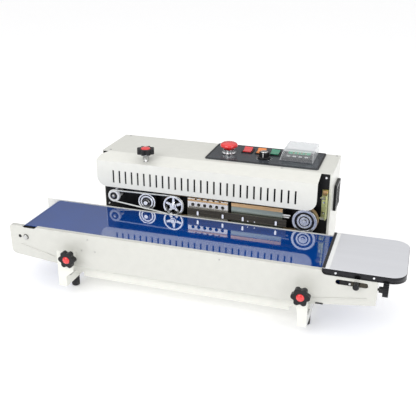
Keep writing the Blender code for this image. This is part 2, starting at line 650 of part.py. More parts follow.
def build_emboss_wheels(m):
    """The ringed coding wheel above, and the plain rubber roller that backs it below."""
    r, face, ring = EMBOSS_R, 26.5, 28.0
    rings = [(0, 19), (5, 19), (5, 23), (8, 23), (8, ring), (12, ring), (12, face), (15, face), (15, ring),
             (18, ring), (18, face), (r, face)]
    shaft = [(r, WHEEL_BACK_Y), (SHAFT_R, WHEEL_BACK_Y), (SHAFT_R, SHAFT_BACK_Y), (0, SHAFT_BACK_Y)]
    turned("emboss_wheel", rings + shaft, "Y", m["silver"], (EMBOSS_X, 0, EMBOSS_Z))
    plain = [(0, 22), (5, 22), (5, face), (r, face)]
    turned("press_roller", plain + shaft, "Y", m["rubber"], (EMBOSS_X, 0, mirrored_z(EMBOSS_Z)))


def build_guide_pulleys(m):
    r = PULLEY_R
    profile = [(0, 17), (5, 17), (5, 20), (r, 20), (r, 21), (r - 2.8, 22), (r - 2.8, 24.6), (r, 25.6),
               (r, 29), (SHAFT_R, 29), (SHAFT_R, SHAFT_BACK_Y), (0, SHAFT_BACK_Y)]
    wheel_pair("guide_pulley", profile, PULLEY_X, PULLEY_Z, m["silver"], 16)


def flipped(points, row):
    return points if row == "upper" else [(x, mirrored_z(z)) for x, z in points]


def build_bands(m):
    for row in ("upper", "lower"):
        loops = [loop_outline((DRIVE_X, DRIVE_Z), DRIVE_R + out, (DRIVEN_X, DRIVEN_Z), DRIVEN_R + out, 14)
                 for out in (BAND_CLEAR + BAND_THICK, BAND_CLEAR)]
        band = prism("seal_band_" + row, flipped(loops[0], row), "Y", *BAND_Y, m["band"], smooth=True)
        cut(band, prism(band.name + "_inside", flipped(loops[1], row), "Y", BAND_Y[0] - PAST,
                        BAND_Y[1] + PAST))


def build_ropes(m):
    path = loop_outline((PULLEY_X, PULLEY_Z), ROPE_ON_PULLEY, (DRIVE_X, DRIVE_Z), ROPE_ON_DRIVE, 14)
    for row in ("upper", "lower"):
        points = flipped(path, row)
        curve = bpy.data.curves.new("guide_rope_" + row, 'CURVE')
        curve.dimensions = '3D'
        curve.bevel_depth = ROPE_R * MM
        curve.bevel_resolution = 1
        spline = curve.splines.new('POLY')
        spline.points.add(len(points) - 1)
        for point, (x, z) in zip(spline.points, points):
            point.co = (x * MM, ROPE_Y * MM, z * MM, 1)
        spline.use_cyclic_u = True
        curve.materials.append(m["rope"])
        bpy.context.collection.objects.link(bpy.data.objects.new(curve.name, curve))


def build_blocks(m):
    """A bored, finned cooling block and a plain heater block with its cartridge bore, on both sides."""
    (y0, y1), low = BLOCK_Y, NIP_Z + BLOCK_HALF_GAP
    high = low + BLOCK_H
    first, bore_r = COOL_X[0] + 12, 4.2
    for row in ("upper", "lower"):
        def span(a, b):
            return (a, b) if row == "upper" else (mirrored_z(b), mirrored_z(a))
        z0, z1 = span(low, high)
        cooler = box("cooling_block_" + row, (COOL_X[0], y0, z0), (COOL_X[1], y1, z1), m["aluminium"])
        bore_z = span(low + 34, low + 34)[0]
        bores = holes(cooler.name + "_bores", bore_r, "Y",
                      [(first + COOL_PITCH * k, bore_z) for k in range(COOL_BORES)], y0 - PAST, y1 + PAST, 12)
        f0, f1 = span(high - 4.5, high + PAST)
        starts = [first + COOL_PITCH * k + 4.5 for k in range(COOL_BORES - 1)]
        fins = boxes(cooler.name + "_fins", [((x, y0 - PAST, f0), (x + 5, y1 + PAST, f1)) for x in starts])
        cut(cooler, bores, fins)
        heater = box("heater_block_" + row, (HEAT_X[0], y0, z0), (HEAT_X[1], y1, z1), m["aluminium"])
        cartridge = ((y0 + y1) / 2, span(low + 28, low + 28)[0])
        cut(heater, holes(heater.name + "_bore", bore_r, "X", [cartridge], HEAT_X[0] + 20, HEAT_X[1] + PAST,
                          12))


def build_guide_strip(m):
    z0, z1 = NIP_Z + 11.5, NIP_Z + 28.5
    strip = box("guide_strip", (STRIP_X[0], STRIP_Y[0], z0), (STRIP_X[1], STRIP_Y[1], z1), m["olive"])
    middle = (z0 + z1) / 2
    weld(strip, holes("strip_pegs", 3, "Y", [(x, middle) for x in (-44, 14, 60, 134)], STRIP_Y[0] - 1.5,
                      BLOCK_Y[0] - GAP, 12))


def build_tension_bracket(m):
    """The zinc angle that carries the driven wheels' tension springs on two rods."""
    plate_y, (z0, z1) = HEAD_Y[0] - GAP, (162.0, 229.0)
    bracket = box("tension_bracket", (228, plate_y - 2.2, z0), (241, plate_y, z1), m["zinc"])
    web = box("bracket_web", (238.8, 28, z0 + 6), (241, plate_y - 1, z1 - 5))
    rods = bmesh.new()
    for z in (z0 + 8, z1 - 13):
        add_turned(rods, [(0, 226.5), (1.6, 226.5), (1.6, 240), (0, 240)], "X", 10, (34, z))
    weld(bracket, web, to_object("bracket_rods", rods))


def build_gears(m):
    """The motor's gear drives the lower drive gear, which drives the upper one, tooth to gap."""
    half_pitch = 180 / GEAR_TEETH
    gears = (("drive_gear_lower", DRIVE_X, mirrored_z(DRIVE_Z), 0),
             ("drive_gear_upper", DRIVE_X, DRIVE_Z, 360 - half_pitch),
             ("motor_gear", MOTOR_X, MOTOR_Z, 2 * MOTOR_ANGLE + 180 - half_pitch))
    for name, x, z, phase in gears:
        gear = prism(name, gear_outline(GEAR_R, GEAR_TEETH, phase), "Y", *GEAR_Y, m["steel"], (x, 0, z))
        if name == "motor_gear":
            weld(gear, rod("motor_shaft", 5, "Y", (x, z), GEAR_Y[0] - 2, MOTOR_Y[0] - GAP))
        else:
            cut(gear, holes(name + "_bore", SHAFT_R + GAP, "Y", [(x, z)], GEAR_Y[0] - PAST,
                            GEAR_Y[1] + PAST))


# ---------------------------------------------------------------- controls

def build_panel(m):
    z0, z1 = HEAD_TOP + GAP, PANEL_TOP
    panel = prism("control_panel", rounded_rectangle(PANEL_X, PANEL_Y, (5, 5, 5, 5), 3), "Z", z0, z1,
                  m["panel"])
    weld(panel, boxes("panel_frames", [((x - 12.5, ROCKER_Y - 15, z1 - 1), (x + 12.5, ROCKER_Y + 15, z1 + 2))
                                       for x in ROCKER_X]))
    low, high = z0 - PAST, z1 + PAST
    windows = [((x - 10.3, ROCKER_Y - 12.8, low), (x + 10.3, ROCKER_Y + 12.8, high)) for x in ROCKER_X]
    (x0, x1), (y0, y1) = CONTROLLER_X, CONTROLLER_Y
    windows.append(((x0 + 2, y0 + 2, low), (x1 - 2, y1 - 2, high)))
    cut(panel, boxes("panel_windows", windows), holes("panel_estop_hole", 11.3, "Z", [ESTOP_AT], low, high),
        holes("panel_speed_hole", 4, "Z", [SPEED_AT], low, high, 12))


def build_estop(m):
    """A chromed collar through the panel, and the mushroom head on a stem that slides in it."""
    z, at = PANEL_TOP + GAP, (*ESTOP_AT, 0)
    collar = turned("estop_collar", [(0, z - 22), (11, z - 22), (11, z), (14, z), (14, z + 9),
                                     (12.5, z + 10.5), (0, z + 10.5)], "Z", m["chrome"], at)
    cut(collar, holes("collar_bore", 5.3, "Z", [ESTOP_AT], z - 30, z + 15))
    cap = z + 15.3
    turned("estop_button", [(0, z - 16), (5, z - 16), (5, cap), (17, cap), (20, cap + 2.5), (20, cap + 5.5),
                            (16.5, cap + 9), (8, cap + 10.9), (0, cap + 11.2)], "Z", m["red"], at)


def build_rockers(m):
    """Each rocker's origin is on its pivot; it rests tilted, with its near half pressed."""
    tilt = Matrix.Rotation(radians(ROCKER_TILT), 2)
    outline = [tuple(tilt @ Vector(p)) for p in ((-11, -8), (11, -8), (11.5, 9.5), (0, 7.2), (-11.5, 9.5))]
    for name, x in zip(("red", "orange", "green"), ROCKER_X):
        prism("rocker_" + name, outline, "X", -9.7, 9.7, m[name], (x, ROCKER_Y, PANEL_TOP - 3))


def build_speed_knob(m):
    z = PANEL_TOP + GAP
    turned("speed_knob", [(0, z - 20), (3, z - 20), (3, z), (14, z), (14, z + 3.5), (11.5, z + 5),
                          (10.5, z + 15), (9.5, z + 16), (0, z + 16)], "Z", m["black"], (*SPEED_AT, 0))


def build_controller(m):
    z, (x0, x1), (y0, y1) = PANEL_TOP + GAP, CONTROLLER_X, CONTROLLER_Y
    controller = box("temperature_controller", (x0, y0, z), (x1, y1, z + 5.5), m["black"])
    weld(controller, box("controller_body", (x0 + 3, y0 + 3, z - CONTROLLER_DEPTH), (x1 - 3, y1 - 3, z + 1)))


def build_cover(m):
    """A clear lid over the controller, hinged along its far edge, with its low-X wall leaning in."""
    z0, wall, lean = PANEL_TOP + GAP, 1.5, 8.0
    z1, (x0, x1), (y0, y1) = z0 + COVER_H, COVER_X, COVER_Y
    pivot_y, pivot_z = y1 + 1, z0 + 1
    outer = [(x0, z0), (x1, z0), (x1, z1), (x0 + lean, z1)]
    inner = [(x0 + wall, z0 - PAST), (x1 - wall, z0 - PAST), (x1 - wall, z1 - wall),
             (x0 + lean + wall, z1 - wall), (x0 + wall, z0)]
    cover = prism("controller_cover", [(x, z - pivot_z) for x, z in outer], "Y", y0 - pivot_y, y1 - pivot_y,
                  m["clear"], (0, pivot_y, pivot_z))
    cut(cover, prism("cover_inside", inner, "Y", y0 + wall, y1 - wall))


def build_pressure_knob(m):
    """The star knob over the coding wheel, on a screw that goes down through the hood."""
    z = HEAD_TOP + 12
    knob = prism("pressure_knob", star_outline(20, 3, 6), "Z", z, z + 13, m["black"], (*PRESSURE_AT, 0), True)
    cap = rod("pressure_cap", 11, "Z", PRESSURE_AT, z + 12, z + 15, 20)
    stem = rod("pressure_stem", 4, "Z", PRESSURE_AT, HOOD_Z[0] + 7, z + 1, 12)
    weld(knob, cap, stem)


# ---------------------------------------------------------------- assembly

def make_materials():
    return {
        "cream": make_material("cream_paint", (0.80, 0.80, 0.76), 0.35),
        "rubber": make_material("black_rubber", (0.02, 0.02, 0.022), 0.6),
        "black": make_material("black_plastic", (0.02, 0.02, 0.024), 0.35),
        "steel": make_material("zinc_steel", (0.60, 0.60, 0.60), 0.35, 1.0),
        "stainless": make_material("stainless", (0.66, 0.67, 0.69), 0.3, 1.0),
        "silver": make_material("turned_steel", (0.75, 0.75, 0.76), 0.25, 1.0),
        "aluminium": make_material("aluminium", (0.75, 0.73, 0.68), 0.4, 1.0),
        "belt": make_material("blue_belt", (0.01, 0.05, 0.30), 0.1),
        "band": make_material("sealing_band", (0.45, 0.33, 0.20), 0.4),
        "rope": make_material("white_rope", (0.8, 0.82, 0.8), 0.4),
        "olive": make_material("olive_strip", (0.10, 0.09, 0.06), 0.3, 0.6),
        "zinc": make_material("yellow_zinc", (0.50, 0.48, 0.20), 0.35, 1.0),
        "grey": make_material("motor_grey", (0.18, 0.19, 0.20), 0.45, 0.5),
        "panel": make_material("panel_grey", (0.07, 0.08, 0.10), 0.2),
        "chrome": make_material("chrome", (0.8, 0.8, 0.8), 0.1, 1.0),
        "red": make_material("red_plastic", (0.75, 0.03, 0.03), 0.3),
        "orange": make_material("orange_plastic", (0.85, 0.30, 0.04), 0.3),
        "green": make_material("green_plastic", (0.02, 0.40, 0.25), 0.3),
        "clear": make_material("clear_plastic", (0.85, 0.90, 0.92), 0.05, 0.0, 0.35),
    }


def build_machine():
    clear_scene()
    m = make_materials()
    build_base_plate(m)
    for side in RAILS:
        build_rail(side, m)
    builders = (build_feet, build_front_skirt, build_rear_rail, build_bed, build_belt, build_rollers,
                build_tension_parts, build_tray, build_clamp_knobs, build_casing, build_rear_panel,
                build_front_plate, build_hood, build_fan, build_inlet, build_motor, build_drive_wheels,
                build_driven_wheels, build_emboss_wheels, build_guide_pulleys, build_bands, build_ropes,
                build_blocks, build_guide_strip, build_tension_bracket, build_gears, build_panel,
                build_estop, build_rockers, build_speed_knob, build_controller, build_cover,
                build_pressure_knob)
    for builder in builders:
        builder(m)


build_machine()
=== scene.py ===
"""The finished look of a bench-top continuous band sealer, built around its CAD model.

Lengths below are millimetres in the frame's axes (+X along the belt, +Y to the rear, +Z up); MM makes metres.
"""
import bpy
import bmesh
import json
from math import acos, atan2, cos, hypot, pi, radians, sin
from mathutils import Euler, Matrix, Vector

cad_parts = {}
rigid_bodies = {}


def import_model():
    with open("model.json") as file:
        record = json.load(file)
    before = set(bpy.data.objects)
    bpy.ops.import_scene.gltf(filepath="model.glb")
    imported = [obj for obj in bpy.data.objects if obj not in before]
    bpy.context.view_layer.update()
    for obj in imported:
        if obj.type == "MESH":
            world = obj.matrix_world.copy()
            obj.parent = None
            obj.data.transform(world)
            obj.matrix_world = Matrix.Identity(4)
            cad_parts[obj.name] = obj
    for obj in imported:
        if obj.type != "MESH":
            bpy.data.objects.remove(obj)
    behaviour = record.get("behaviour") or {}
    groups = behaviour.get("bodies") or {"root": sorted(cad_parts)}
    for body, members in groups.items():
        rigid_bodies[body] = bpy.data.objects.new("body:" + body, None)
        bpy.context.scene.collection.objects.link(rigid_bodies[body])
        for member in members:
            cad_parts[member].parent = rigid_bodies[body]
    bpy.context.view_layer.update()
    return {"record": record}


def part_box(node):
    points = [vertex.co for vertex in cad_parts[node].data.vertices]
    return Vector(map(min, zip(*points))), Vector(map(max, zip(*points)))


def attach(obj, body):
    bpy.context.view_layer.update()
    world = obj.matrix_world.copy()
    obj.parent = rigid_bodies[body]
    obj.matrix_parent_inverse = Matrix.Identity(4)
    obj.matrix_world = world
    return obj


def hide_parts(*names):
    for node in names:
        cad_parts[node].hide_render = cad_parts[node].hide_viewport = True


MM = 0.001
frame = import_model()


# ---------------------------------------------------------------- places, from the CAD nodes

def extent(node):
    """A node's lowest and highest corners in millimetres."""
    low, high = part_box(node)
    return Vector(low) / MM, Vector(high) / MM


def middle(node):
    low, high = extent(node)
    return (low + high) / 2


# ---------------------------------------------------------------- materials

def new_material(name):
    material = bpy.data.materials.new(name)
    material.use_nodes = True
    return material, material.node_tree.nodes, material.node_tree.links


def scaled(color, factor):
    return (*(min(1.0, c * factor) for c in color), 1.0)


def finish_material(name, color, roughness, metallic=0.0, vary=0.06, rough_vary=0.06, grain=900.0,
                    stretch=(1, 1, 1), bump=0.15, depth=0.00005, wear=60.0, sockets=None):
    """Fine grain gives the bump and roughness, and a slower noise varies the colour."""
    material, nodes, links = new_material(name)
    shader = nodes["Principled BSDF"]
    shader.inputs["Metallic"].default_value = metallic
    for socket, value in (sockets or {}).items():
        shader.inputs[socket].default_value = value
    coordinates = nodes.new("ShaderNodeTexCoord")
    mapping = nodes.new("ShaderNodeMapping")
    mapping.inputs["Scale"].default_value = stretch
    links.new(coordinates.outputs["Object"], mapping.inputs["Vector"])
    fine, slow = nodes.new("ShaderNodeTexNoise"), nodes.new("ShaderNodeTexNoise")
    for noise, scale, detail in ((fine, grain, 3.0), (slow, wear, 4.0)):
        noise.inputs["Scale"].default_value = scale
        noise.inputs["Detail"].default_value = detail
        links.new(mapping.outputs["Vector"], noise.inputs["Vector"])
    ramp = nodes.new("ShaderNodeValToRGB")
    ramp.color_ramp.elements[0].position, ramp.color_ramp.elements[1].position = 0.3, 0.7
    ramp.color_ramp.elements[0].color = scaled(color, 1 - vary)
    ramp.color_ramp.elements[1].color = scaled(color, 1 + vary)
    links.new(slow.outputs["Fac"], ramp.inputs["Fac"])
    links.new(ramp.outputs["Color"], shader.inputs["Base Color"])
    rough = nodes.new("ShaderNodeMapRange")
    rough.inputs["To Min"].default_value = max(0.02, roughness - rough_vary)
    rough.inputs["To Max"].default_value = min(1.0, roughness + rough_vary)
    links.new(fine.outputs["Fac"], rough.inputs["Value"])
    links.new(rough.outputs["Result"], shader.inputs["Roughness"])
    bumped = nodes.new("ShaderNodeBump")
    bumped.inputs["Strength"].default_value = bump
    bumped.inputs["Distance"].default_value = depth
    links.new(fine.outputs["Fac"], bumped.inputs["Height"])
    links.new(bumped.outputs["Normal"], shader.inputs["Normal"])
    return material


def woven_material(name, color, roughness, pitch):
    """Cloth with its warp and weft as two crossed waves."""
    material = finish_material(name, color, roughness, vary=0.12, grain=2500.0, bump=0.2)
    nodes, links = material.node_tree.nodes, material.node_tree.links
    coordinates = next(n for n in nodes if n.bl_idname == "ShaderNodeTexCoord")
    bumped = next(n for n in nodes if n.bl_idname == "ShaderNodeBump")
    weave = nodes.new("ShaderNodeMath")
    weave.operation = 'MAXIMUM'
    for k, direction in enumerate(('X', 'Y')):
        wave = nodes.new("ShaderNodeTexWave")
        wave.bands_direction = direction
        wave.inputs["Scale"].default_value = pitch
        links.new(coordinates.outputs["Object"], wave.inputs["Vector"])
        links.new(wave.outputs["Fac"], weave.inputs[k])
    links.new(weave.outputs["Value"], bumped.inputs["Height"])
    return material


def clear_material(name, color):
    """Thin clear plastic: nearly invisible face on, whiter and solid at grazing angles."""
    material = finish_material(name, color, 0.06, rough_vary=0.03, vary=0.02, bump=0.04)
    nodes, links = material.node_tree.nodes, material.node_tree.links
    edge = nodes.new("ShaderNodeLayerWeight")
    edge.inputs["Blend"].default_value = 0.35
    opacity = nodes.new("ShaderNodeMapRange")
    opacity.inputs["To Min"].default_value = 0.1
    opacity.inputs["To Max"].default_value = 0.7
    links.new(edge.outputs["Facing"], opacity.inputs["Value"])
    links.new(opacity.outputs["Result"], nodes["Principled BSDF"].inputs["Alpha"])
    return material


GLOSS = {"Coat Weight": 1.0, "Coat Roughness": 0.05}
BELT_SHINE = {"Coat Weight": 1.0, "Coat Roughness": 0.02, "Coat IOR": 1.95, "Specular IOR Level": 0.2}
ALONG_X = (0.03, 1.0, 1.0)      # stretches the grain along the belt's direction


def make_finishes():
    """One material for each of the record's slots, and a few for small pieces."""
    return {
        "cream_paint": finish_material("cream_paint", (0.80, 0.80, 0.745), 0.34, vary=0.02, grain=1400.0,
                                       bump=0.12, sockets={"Coat Weight": 0.3, "Coat Roughness": 0.2}),
        # The front skirt's cream, darker than the casing's same paint: painted shade on the skirt
        "skirt_painted_shade": finish_material("skirt_painted_shade_cream", (0.62, 0.62, 0.58), 0.36, vary=0.02,
                                       grain=1400.0, bump=0.12,
                                       sockets={"Coat Weight": 0.3, "Coat Roughness": 0.2}),
        "black_paint": finish_material("black_paint", (0.004, 0.004, 0.005), 0.4, vary=0.3, bump=0.2,
                                       sockets={"Specular IOR Level": 0.3}),
        "motor": finish_material("motor_paint", (0.16, 0.17, 0.18), 0.5, metallic=0.3, vary=0.15, bump=0.4),
        "rubber": finish_material("black_rubber", (0.018, 0.018, 0.02), 0.62, vary=0.25, grain=700.0,
                                  bump=0.5, depth=0.0001),
        "black_plastic": finish_material("black_plastic", (0.005, 0.005, 0.007), 0.3, vary=0.2, grain=1600.0,
                                         bump=0.3, sockets={"Specular IOR Level": 0.35}),
        "panel": finish_material("panel_film", (0.050, 0.057, 0.068), 0.24, vary=0.12, grain=2200.0,
                                 bump=0.25),
        "steel": finish_material("plated_steel", (0.58, 0.58, 0.57), 0.34, metallic=1.0, vary=0.1,
                                 grain=1200.0),
        "stainless": finish_material("stainless_top", (0.86, 0.87, 0.91), 0.34, metallic=0.55, vary=0.012,
                                     grain=1500.0, stretch=ALONG_X, bump=0.12),
        "silver": finish_material("turned_steel", (0.74, 0.75, 0.77), 0.16, metallic=1.0, vary=0.05,
                                  grain=1800.0, bump=0.2),
        "aluminium": finish_material("milled_aluminium", (0.86, 0.84, 0.79), 0.36, metallic=0.85, vary=0.05,
                                     grain=1100.0, stretch=ALONG_X, bump=0.3),
        "belt": finish_material("blue_belt", (0.0001, 0.05, 0.27), 0.1, vary=0.08, rough_vary=0.04,
                                grain=260.0, bump=0.03, depth=0.00003, wear=14.0, sockets=BELT_SHINE),
        "band": woven_material("glass_cloth_band", (0.48, 0.34, 0.19), 0.45, 260.0),
        "rope": finish_material("white_rope", (0.85, 0.87, 0.85), 0.35, vary=0.04, grain=900.0, bump=0.3),
        "strip": finish_material("dark_strip", (0.055, 0.048, 0.036), 0.2, metallic=0.75, vary=0.5,
                                 stretch=ALONG_X, wear=300.0, bump=0.2),
        "zinc": finish_material("yellow_zinc", (0.56, 0.58, 0.24), 0.3, metallic=0.9, vary=0.4, wear=90.0,
                                bump=0.2),
        "chrome": finish_material("chrome", (0.86, 0.86, 0.87), 0.07, metallic=1.0, vary=0.02,
                                  rough_vary=0.04, bump=0.03),
        "red": finish_material("red_plastic", (0.78, 0.018, 0.022), 0.25, vary=0.06, bump=0.1, sockets=GLOSS),
        "orange": finish_material("orange_plastic", (0.85, 0.24, 0.02), 0.25, vary=0.08, bump=0.1,
                                  sockets=GLOSS),
        "green": finish_material("green_plastic", (0.008, 0.26, 0.14), 0.25, vary=0.08, bump=0.1,
                                 sockets=GLOSS),
        "clear": clear_material("clear_plastic", (0.88, 0.90, 0.93)),
        "grey_steel": finish_material("ringed_steel", (0.50, 0.52, 0.56), 0.14, metallic=1.0, vary=0.08,
                                      grain=1500.0, bump=0.2),
        "dark_steel": finish_material("dark_polished_steel", (0.028, 0.028, 0.031), 0.26, metallic=0.9,
                                      vary=0.2, stretch=ALONG_X, bump=0.1),
        "tan": finish_material("tan_metal", (0.62, 0.40, 0.20), 0.34, metallic=0.7, vary=0.25,
                               stretch=ALONG_X, wear=200.0, bump=0.25),
        "heater": finish_material("heater_face", (0.32, 0.36, 0.31), 0.3, metallic=0.9, vary=0.35,
                                  stretch=(0.02, 1.0, 1.0), wear=150.0, bump=0.25),
        "white": finish_material("white_plastic", (0.85, 0.86, 0.86), 0.35, vary=0.03, bump=0.1),
        "display": finish_material("green_display", (0.05, 0.30, 0.18), 0.15, vary=0.2, wear=500.0,
                                   bump=0.05, sockets={"Emission Color": (0.04, 0.5, 0.25, 1.0),
                                                       "Emission Strength": 0.25}),
    }


# ---------------------------------------------------------------- mesh helpers

def place(axis, u, v, w):
    """A point given in the plane across axis (u, v) and along it (w)."""
    return {"X": (w, u, v), "Y": (u, w, v), "Z": (u, v, w)}[axis]


def arc(center, radius, start, end, steps):
    angles = [radians(start + (end - start) * k / steps) for k in range(steps + 1)]
    return [(center[0] + radius * cos(a), center[1] + radius * sin(a)) for a in angles]


def rounded_rectangle(u, v, radius, steps=6):
    corners = (((u[0] + radius, v[0] + radius), 180), ((u[1] - radius, v[0] + radius), 270),
               ((u[1] - radius, v[1] - radius), 0), ((u[0] + radius, v[1] - radius), 90))
    return [point for center, start in corners for point in arc(center, radius, start, start + 90, steps)]


def loop_outline(a, ra, b, rb, steps):
    """A belt's outline round two circles, a on the low side."""
    length = hypot(b[0] - a[0], b[1] - a[1])
    lean = atan2(b[1] - a[1], b[0] - a[0])
    spread = acos((ra - rb) / length)
    first = arc(a, ra, *(angle * 180 / pi for angle in (lean + spread, lean + 2 * pi - spread)), steps)
    second = arc(b, rb, *(angle * 180 / pi for angle in (lean - spread, lean + spread)), steps)
    return first + second


def star_outline(radius, dip, lobes, steps=8):
    count = lobes * steps
    angles = [2 * pi * k / count for k in range(count)]
    return [((radius - dip * (0.5 - 0.5 * cos(lobes * a)) ** 1.7) * cos(a),
             (radius - dip * (0.5 - 0.5 * cos(lobes * a)) ** 1.7) * sin(a)) for a in angles]


def add_box(bm, low, high):
    made = bmesh.ops.create_cube(bm, size=1.0)["verts"]
    for vertex in made:
        vertex.co = [a + (b - a) * (c + 0.5) for a, b, c in zip(low, high, vertex.co)]


def add_prism(bm, outline, axis, low, high, at=(0, 0), slot=0):
    rings = [[bm.verts.new(place(axis, at[0] + u, at[1] + v, w)) for u, v in outline] for w in (low, high)]
    count = len(outline)
    faces = [bm.faces.new(rings[0]), bm.faces.new(rings[1][::-1])]
    faces += [bm.faces.new((rings[0][i], rings[1][i], rings[1][(i + 1) % count], rings[0][(i + 1) % count]))
              for i in range(count)]
    for face in faces:
        face.material_index = slot


def add_lathe(bm, profile, axis, at, segments=48, slot=0):
    """A turned shape from (radius, height) points; a closed ring when it doesn't start on the axis."""
    rings = []
    for radius, height in profile:
        if radius == 0:
            rings.append([bm.verts.new(place(axis, at[0], at[1], height))])
            continue
        angles = [2 * pi * i / segments for i in range(segments)]
        rings.append([bm.verts.new(place(axis, at[0] + radius * cos(a), at[1] + radius * sin(a), height))
                      for a in angles])
    pairs = list(zip(rings, rings[1:]))
    if len(rings[0]) > 1:
        pairs.append((rings[-1], rings[0]))
    for first, second in pairs:
        for i in range(segments):
            corners = [first[i % len(first)], first[(i + 1) % len(first)],
                       second[(i + 1) % len(second)], second[i % len(second)]]
            bm.faces.new(list(dict.fromkeys(corners))).material_index = slot


def bridge(bm, rings):
    """Faces from each ring of points to the next, and from the last to the first."""
    for first, second in zip(rings, rings[1:] + rings[:1]):
        for i in range(len(first)):
            j = (i + 1) % len(first)
            bm.faces.new((first[i], first[j], second[j], second[i]))


def add_frame(bm, outer, inner, low, high):
    """A flat frame between two outlines in the XY plane."""
    lines = ((outer, low), (outer, high), (inner, high), (inner, low))
    bridge(bm, [[bm.verts.new((x, y, z)) for x, y in line] for line, z in lines])


def add_band(bm, outer, inner, low, high):
    """A belt between two outlines in the XZ plane, from low to high along Y."""
    rings = [[bm.verts.new((x, y, z)) for x, z in line] for line in (outer, inner) for y in (low, high)]
    outer_low, outer_high, inner_low, inner_high = rings
    bridge(bm, [outer_low, outer_high, inner_high, inner_low])


def add_coil(bm, axis, at, radius, wire, low, high, turns, around=8):
    """A coil spring as one closed tube."""
    steps = turns * 16
    rings = []
    for k in range(steps + 1):
        angle = 2 * pi * turns * k / steps
        height = low + (high - low) * k / steps
        ring = []
        for j in range(around):
            across = 2 * pi * j / around
            out = radius + wire * cos(across)
            ring.append(bm.verts.new(place(axis, at[0] + out * cos(angle), at[1] + out * sin(angle),
                                           height + wire * sin(across))))
        rings.append(ring)
    for first, second in zip(rings, rings[1:]):
        for j in range(around):
            bm.faces.new((first[j], first[(j + 1) % around], second[(j + 1) % around], second[j]))
    bm.faces.new(rings[0])
    bm.faces.new(rings[-1])


def piece(name, bm, finishes, body, instead_of=(), bevel=0.0, steps=2, angle=35):
    """Makes the mesh into an object that rides on a body. finishes is one material or a list of them."""
    bmesh.ops.recalc_face_normals(bm, faces=bm.faces)
    bmesh.ops.scale(bm, vec=(MM, MM, MM), verts=bm.verts)
    mesh = bpy.data.meshes.new(name)
    bm.to_mesh(mesh)
    bm.free()
    mesh.shade_smooth()
    mesh.set_sharp_from_angle(angle=radians(angle))
    obj = bpy.data.objects.new(name, mesh)
    bpy.context.collection.objects.link(obj)
    for material in finishes if isinstance(finishes, list) else [finishes]:
        mesh.materials.append(material)
    if bevel:
        soften(obj, bevel, steps)
    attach(obj, body)
    if instead_of:
        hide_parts(*instead_of)
    return obj


def soften(obj, width, steps=2):
    modifier = obj.modifiers.new("soft_edges", 'BEVEL')
    modifier.width = width * MM
    modifier.segments = steps
    modifier.limit_method = 'ANGLE'
    modifier.angle_limit = radians(40)
    modifier.use_clamp_overlap = True


# ---------------------------------------------------------------- CAD nodes

# Edge radius of the CAD nodes that show as they are
EDGES = {
    "base_plate": 0.5, "rail_left": 0.5, "rail_right": 0.5, "head_casing": 0.6, "rear_panel": 0.4,
    "hood": 0.45, "front_skirt": 0.45, "rear_rail": 0.4, "front_plate": 0.5, "fan_frame": 0.8,
    "fan_guard": 1.0, "mains_inlet": 1.0, "temperature_controller": 0.8, "control_panel": 0.4,
    "gear_motor": 1.5, "cooling_block_upper": 0.4, "cooling_block_lower": 0.4, "heater_block_upper": 0.5,
    "heater_block_lower": 0.5, "guide_strip": 0.3, "tension_bracket": 0.3, "tension_block": 0.6,
    "controller_cover": 0.5, "belt_bed": 0.3,
}


# Nodes whose finish isn't their material slot's own; the front skirt's is a darker copy of the cream paint,
# painted shade
OWN_FINISH = {"heater_block_upper": "heater", "heater_block_lower": "heater", "tension_block": "strip",
              "front_skirt": "skirt_painted_shade"}


def dress_cad(finish):
    for part in frame["record"]["subparts"]:
        node = bpy.data.objects[part["node"]]
        node.data.materials.clear()
        node.data.materials.append(finish[OWN_FINISH.get(part["node"], part["material_slot"])])
        if part["node"] in EDGES:
            soften(node, EDGES[part["node"]])


# ---------------------------------------------------------------- conveyor

def build_belt(finish):
    """The belt as one smooth loop round both rollers."""
    low, high = extent("conveyor_belt")
    drive, tension = middle("drive_roller"), middle("tension_roller")
    drive_r, tension_r = high.z - drive.z, high.z - tension.z
    thick = 2.0
    outer, inner = [loop_outline((drive.x, drive.z), drive_r - t, (tension.x, tension.z), tension_r - t, 40)
                    for t in (0, thick)]
    bm = bmesh.new()
    add_band(bm, outer, inner, low.y, high.y)
    piece("belt_loop", bm, finish["belt"], "conveyor", ["conveyor_belt"], bevel=0.3)


def build_rollers(finish):
    """Each roller on its shaft, with a collar round the shaft's end."""
    low, high = extent("conveyor_belt")
    y0, y1 = low.y + 1.5, high.y - 1.5
    # The drive roller is black rubber: rubber lagging, and also painted shade, so its end reads dark in the
    # skirt's notch
    rollers = (("drive_roller", "rubber", 5.0, "steel"), ("tension_roller", "steel", 5.8, "black_plastic"))
    for name, slot, nut, cap in rollers:
        center, (node_low, node_high) = middle(name), extent(name)
        r = (node_high.z - node_low.z) / 2
        front, back, skirt = node_low.y, node_high.y, low.y - 11
        bm = bmesh.new()
        profile = [(0, front), (nut - 1.2, front), (nut, front + 1.2), (nut, skirt), (4.9, skirt),
                   (4.9, y0), (r - 1.5, y0), (r, y0 + 1.5), (r, y1 - 1.5), (r - 1.5, y1), (4.9, y1),
                   (4.9, back), (0, back)]
        add_lathe(bm, profile, "Y", (center.x, center.z), 56)
        piece(name + "_turned", bm, finish[slot], name, [name], bevel=0.3)
        bm = bmesh.new()
        add_lathe(bm, [(0, front - 0.01), (nut - 0.9, front - 0.01), (nut + 0.3, front + 1.2),
                       (nut + 0.3, skirt - 0.5), (nut, skirt - 0.5), (nut, front + 1.2), (nut - 1.2, front),
                       (0, front)], "Y", (center.x, center.z), 40)
        piece(name + "_cap", bm, finish[cap], name)


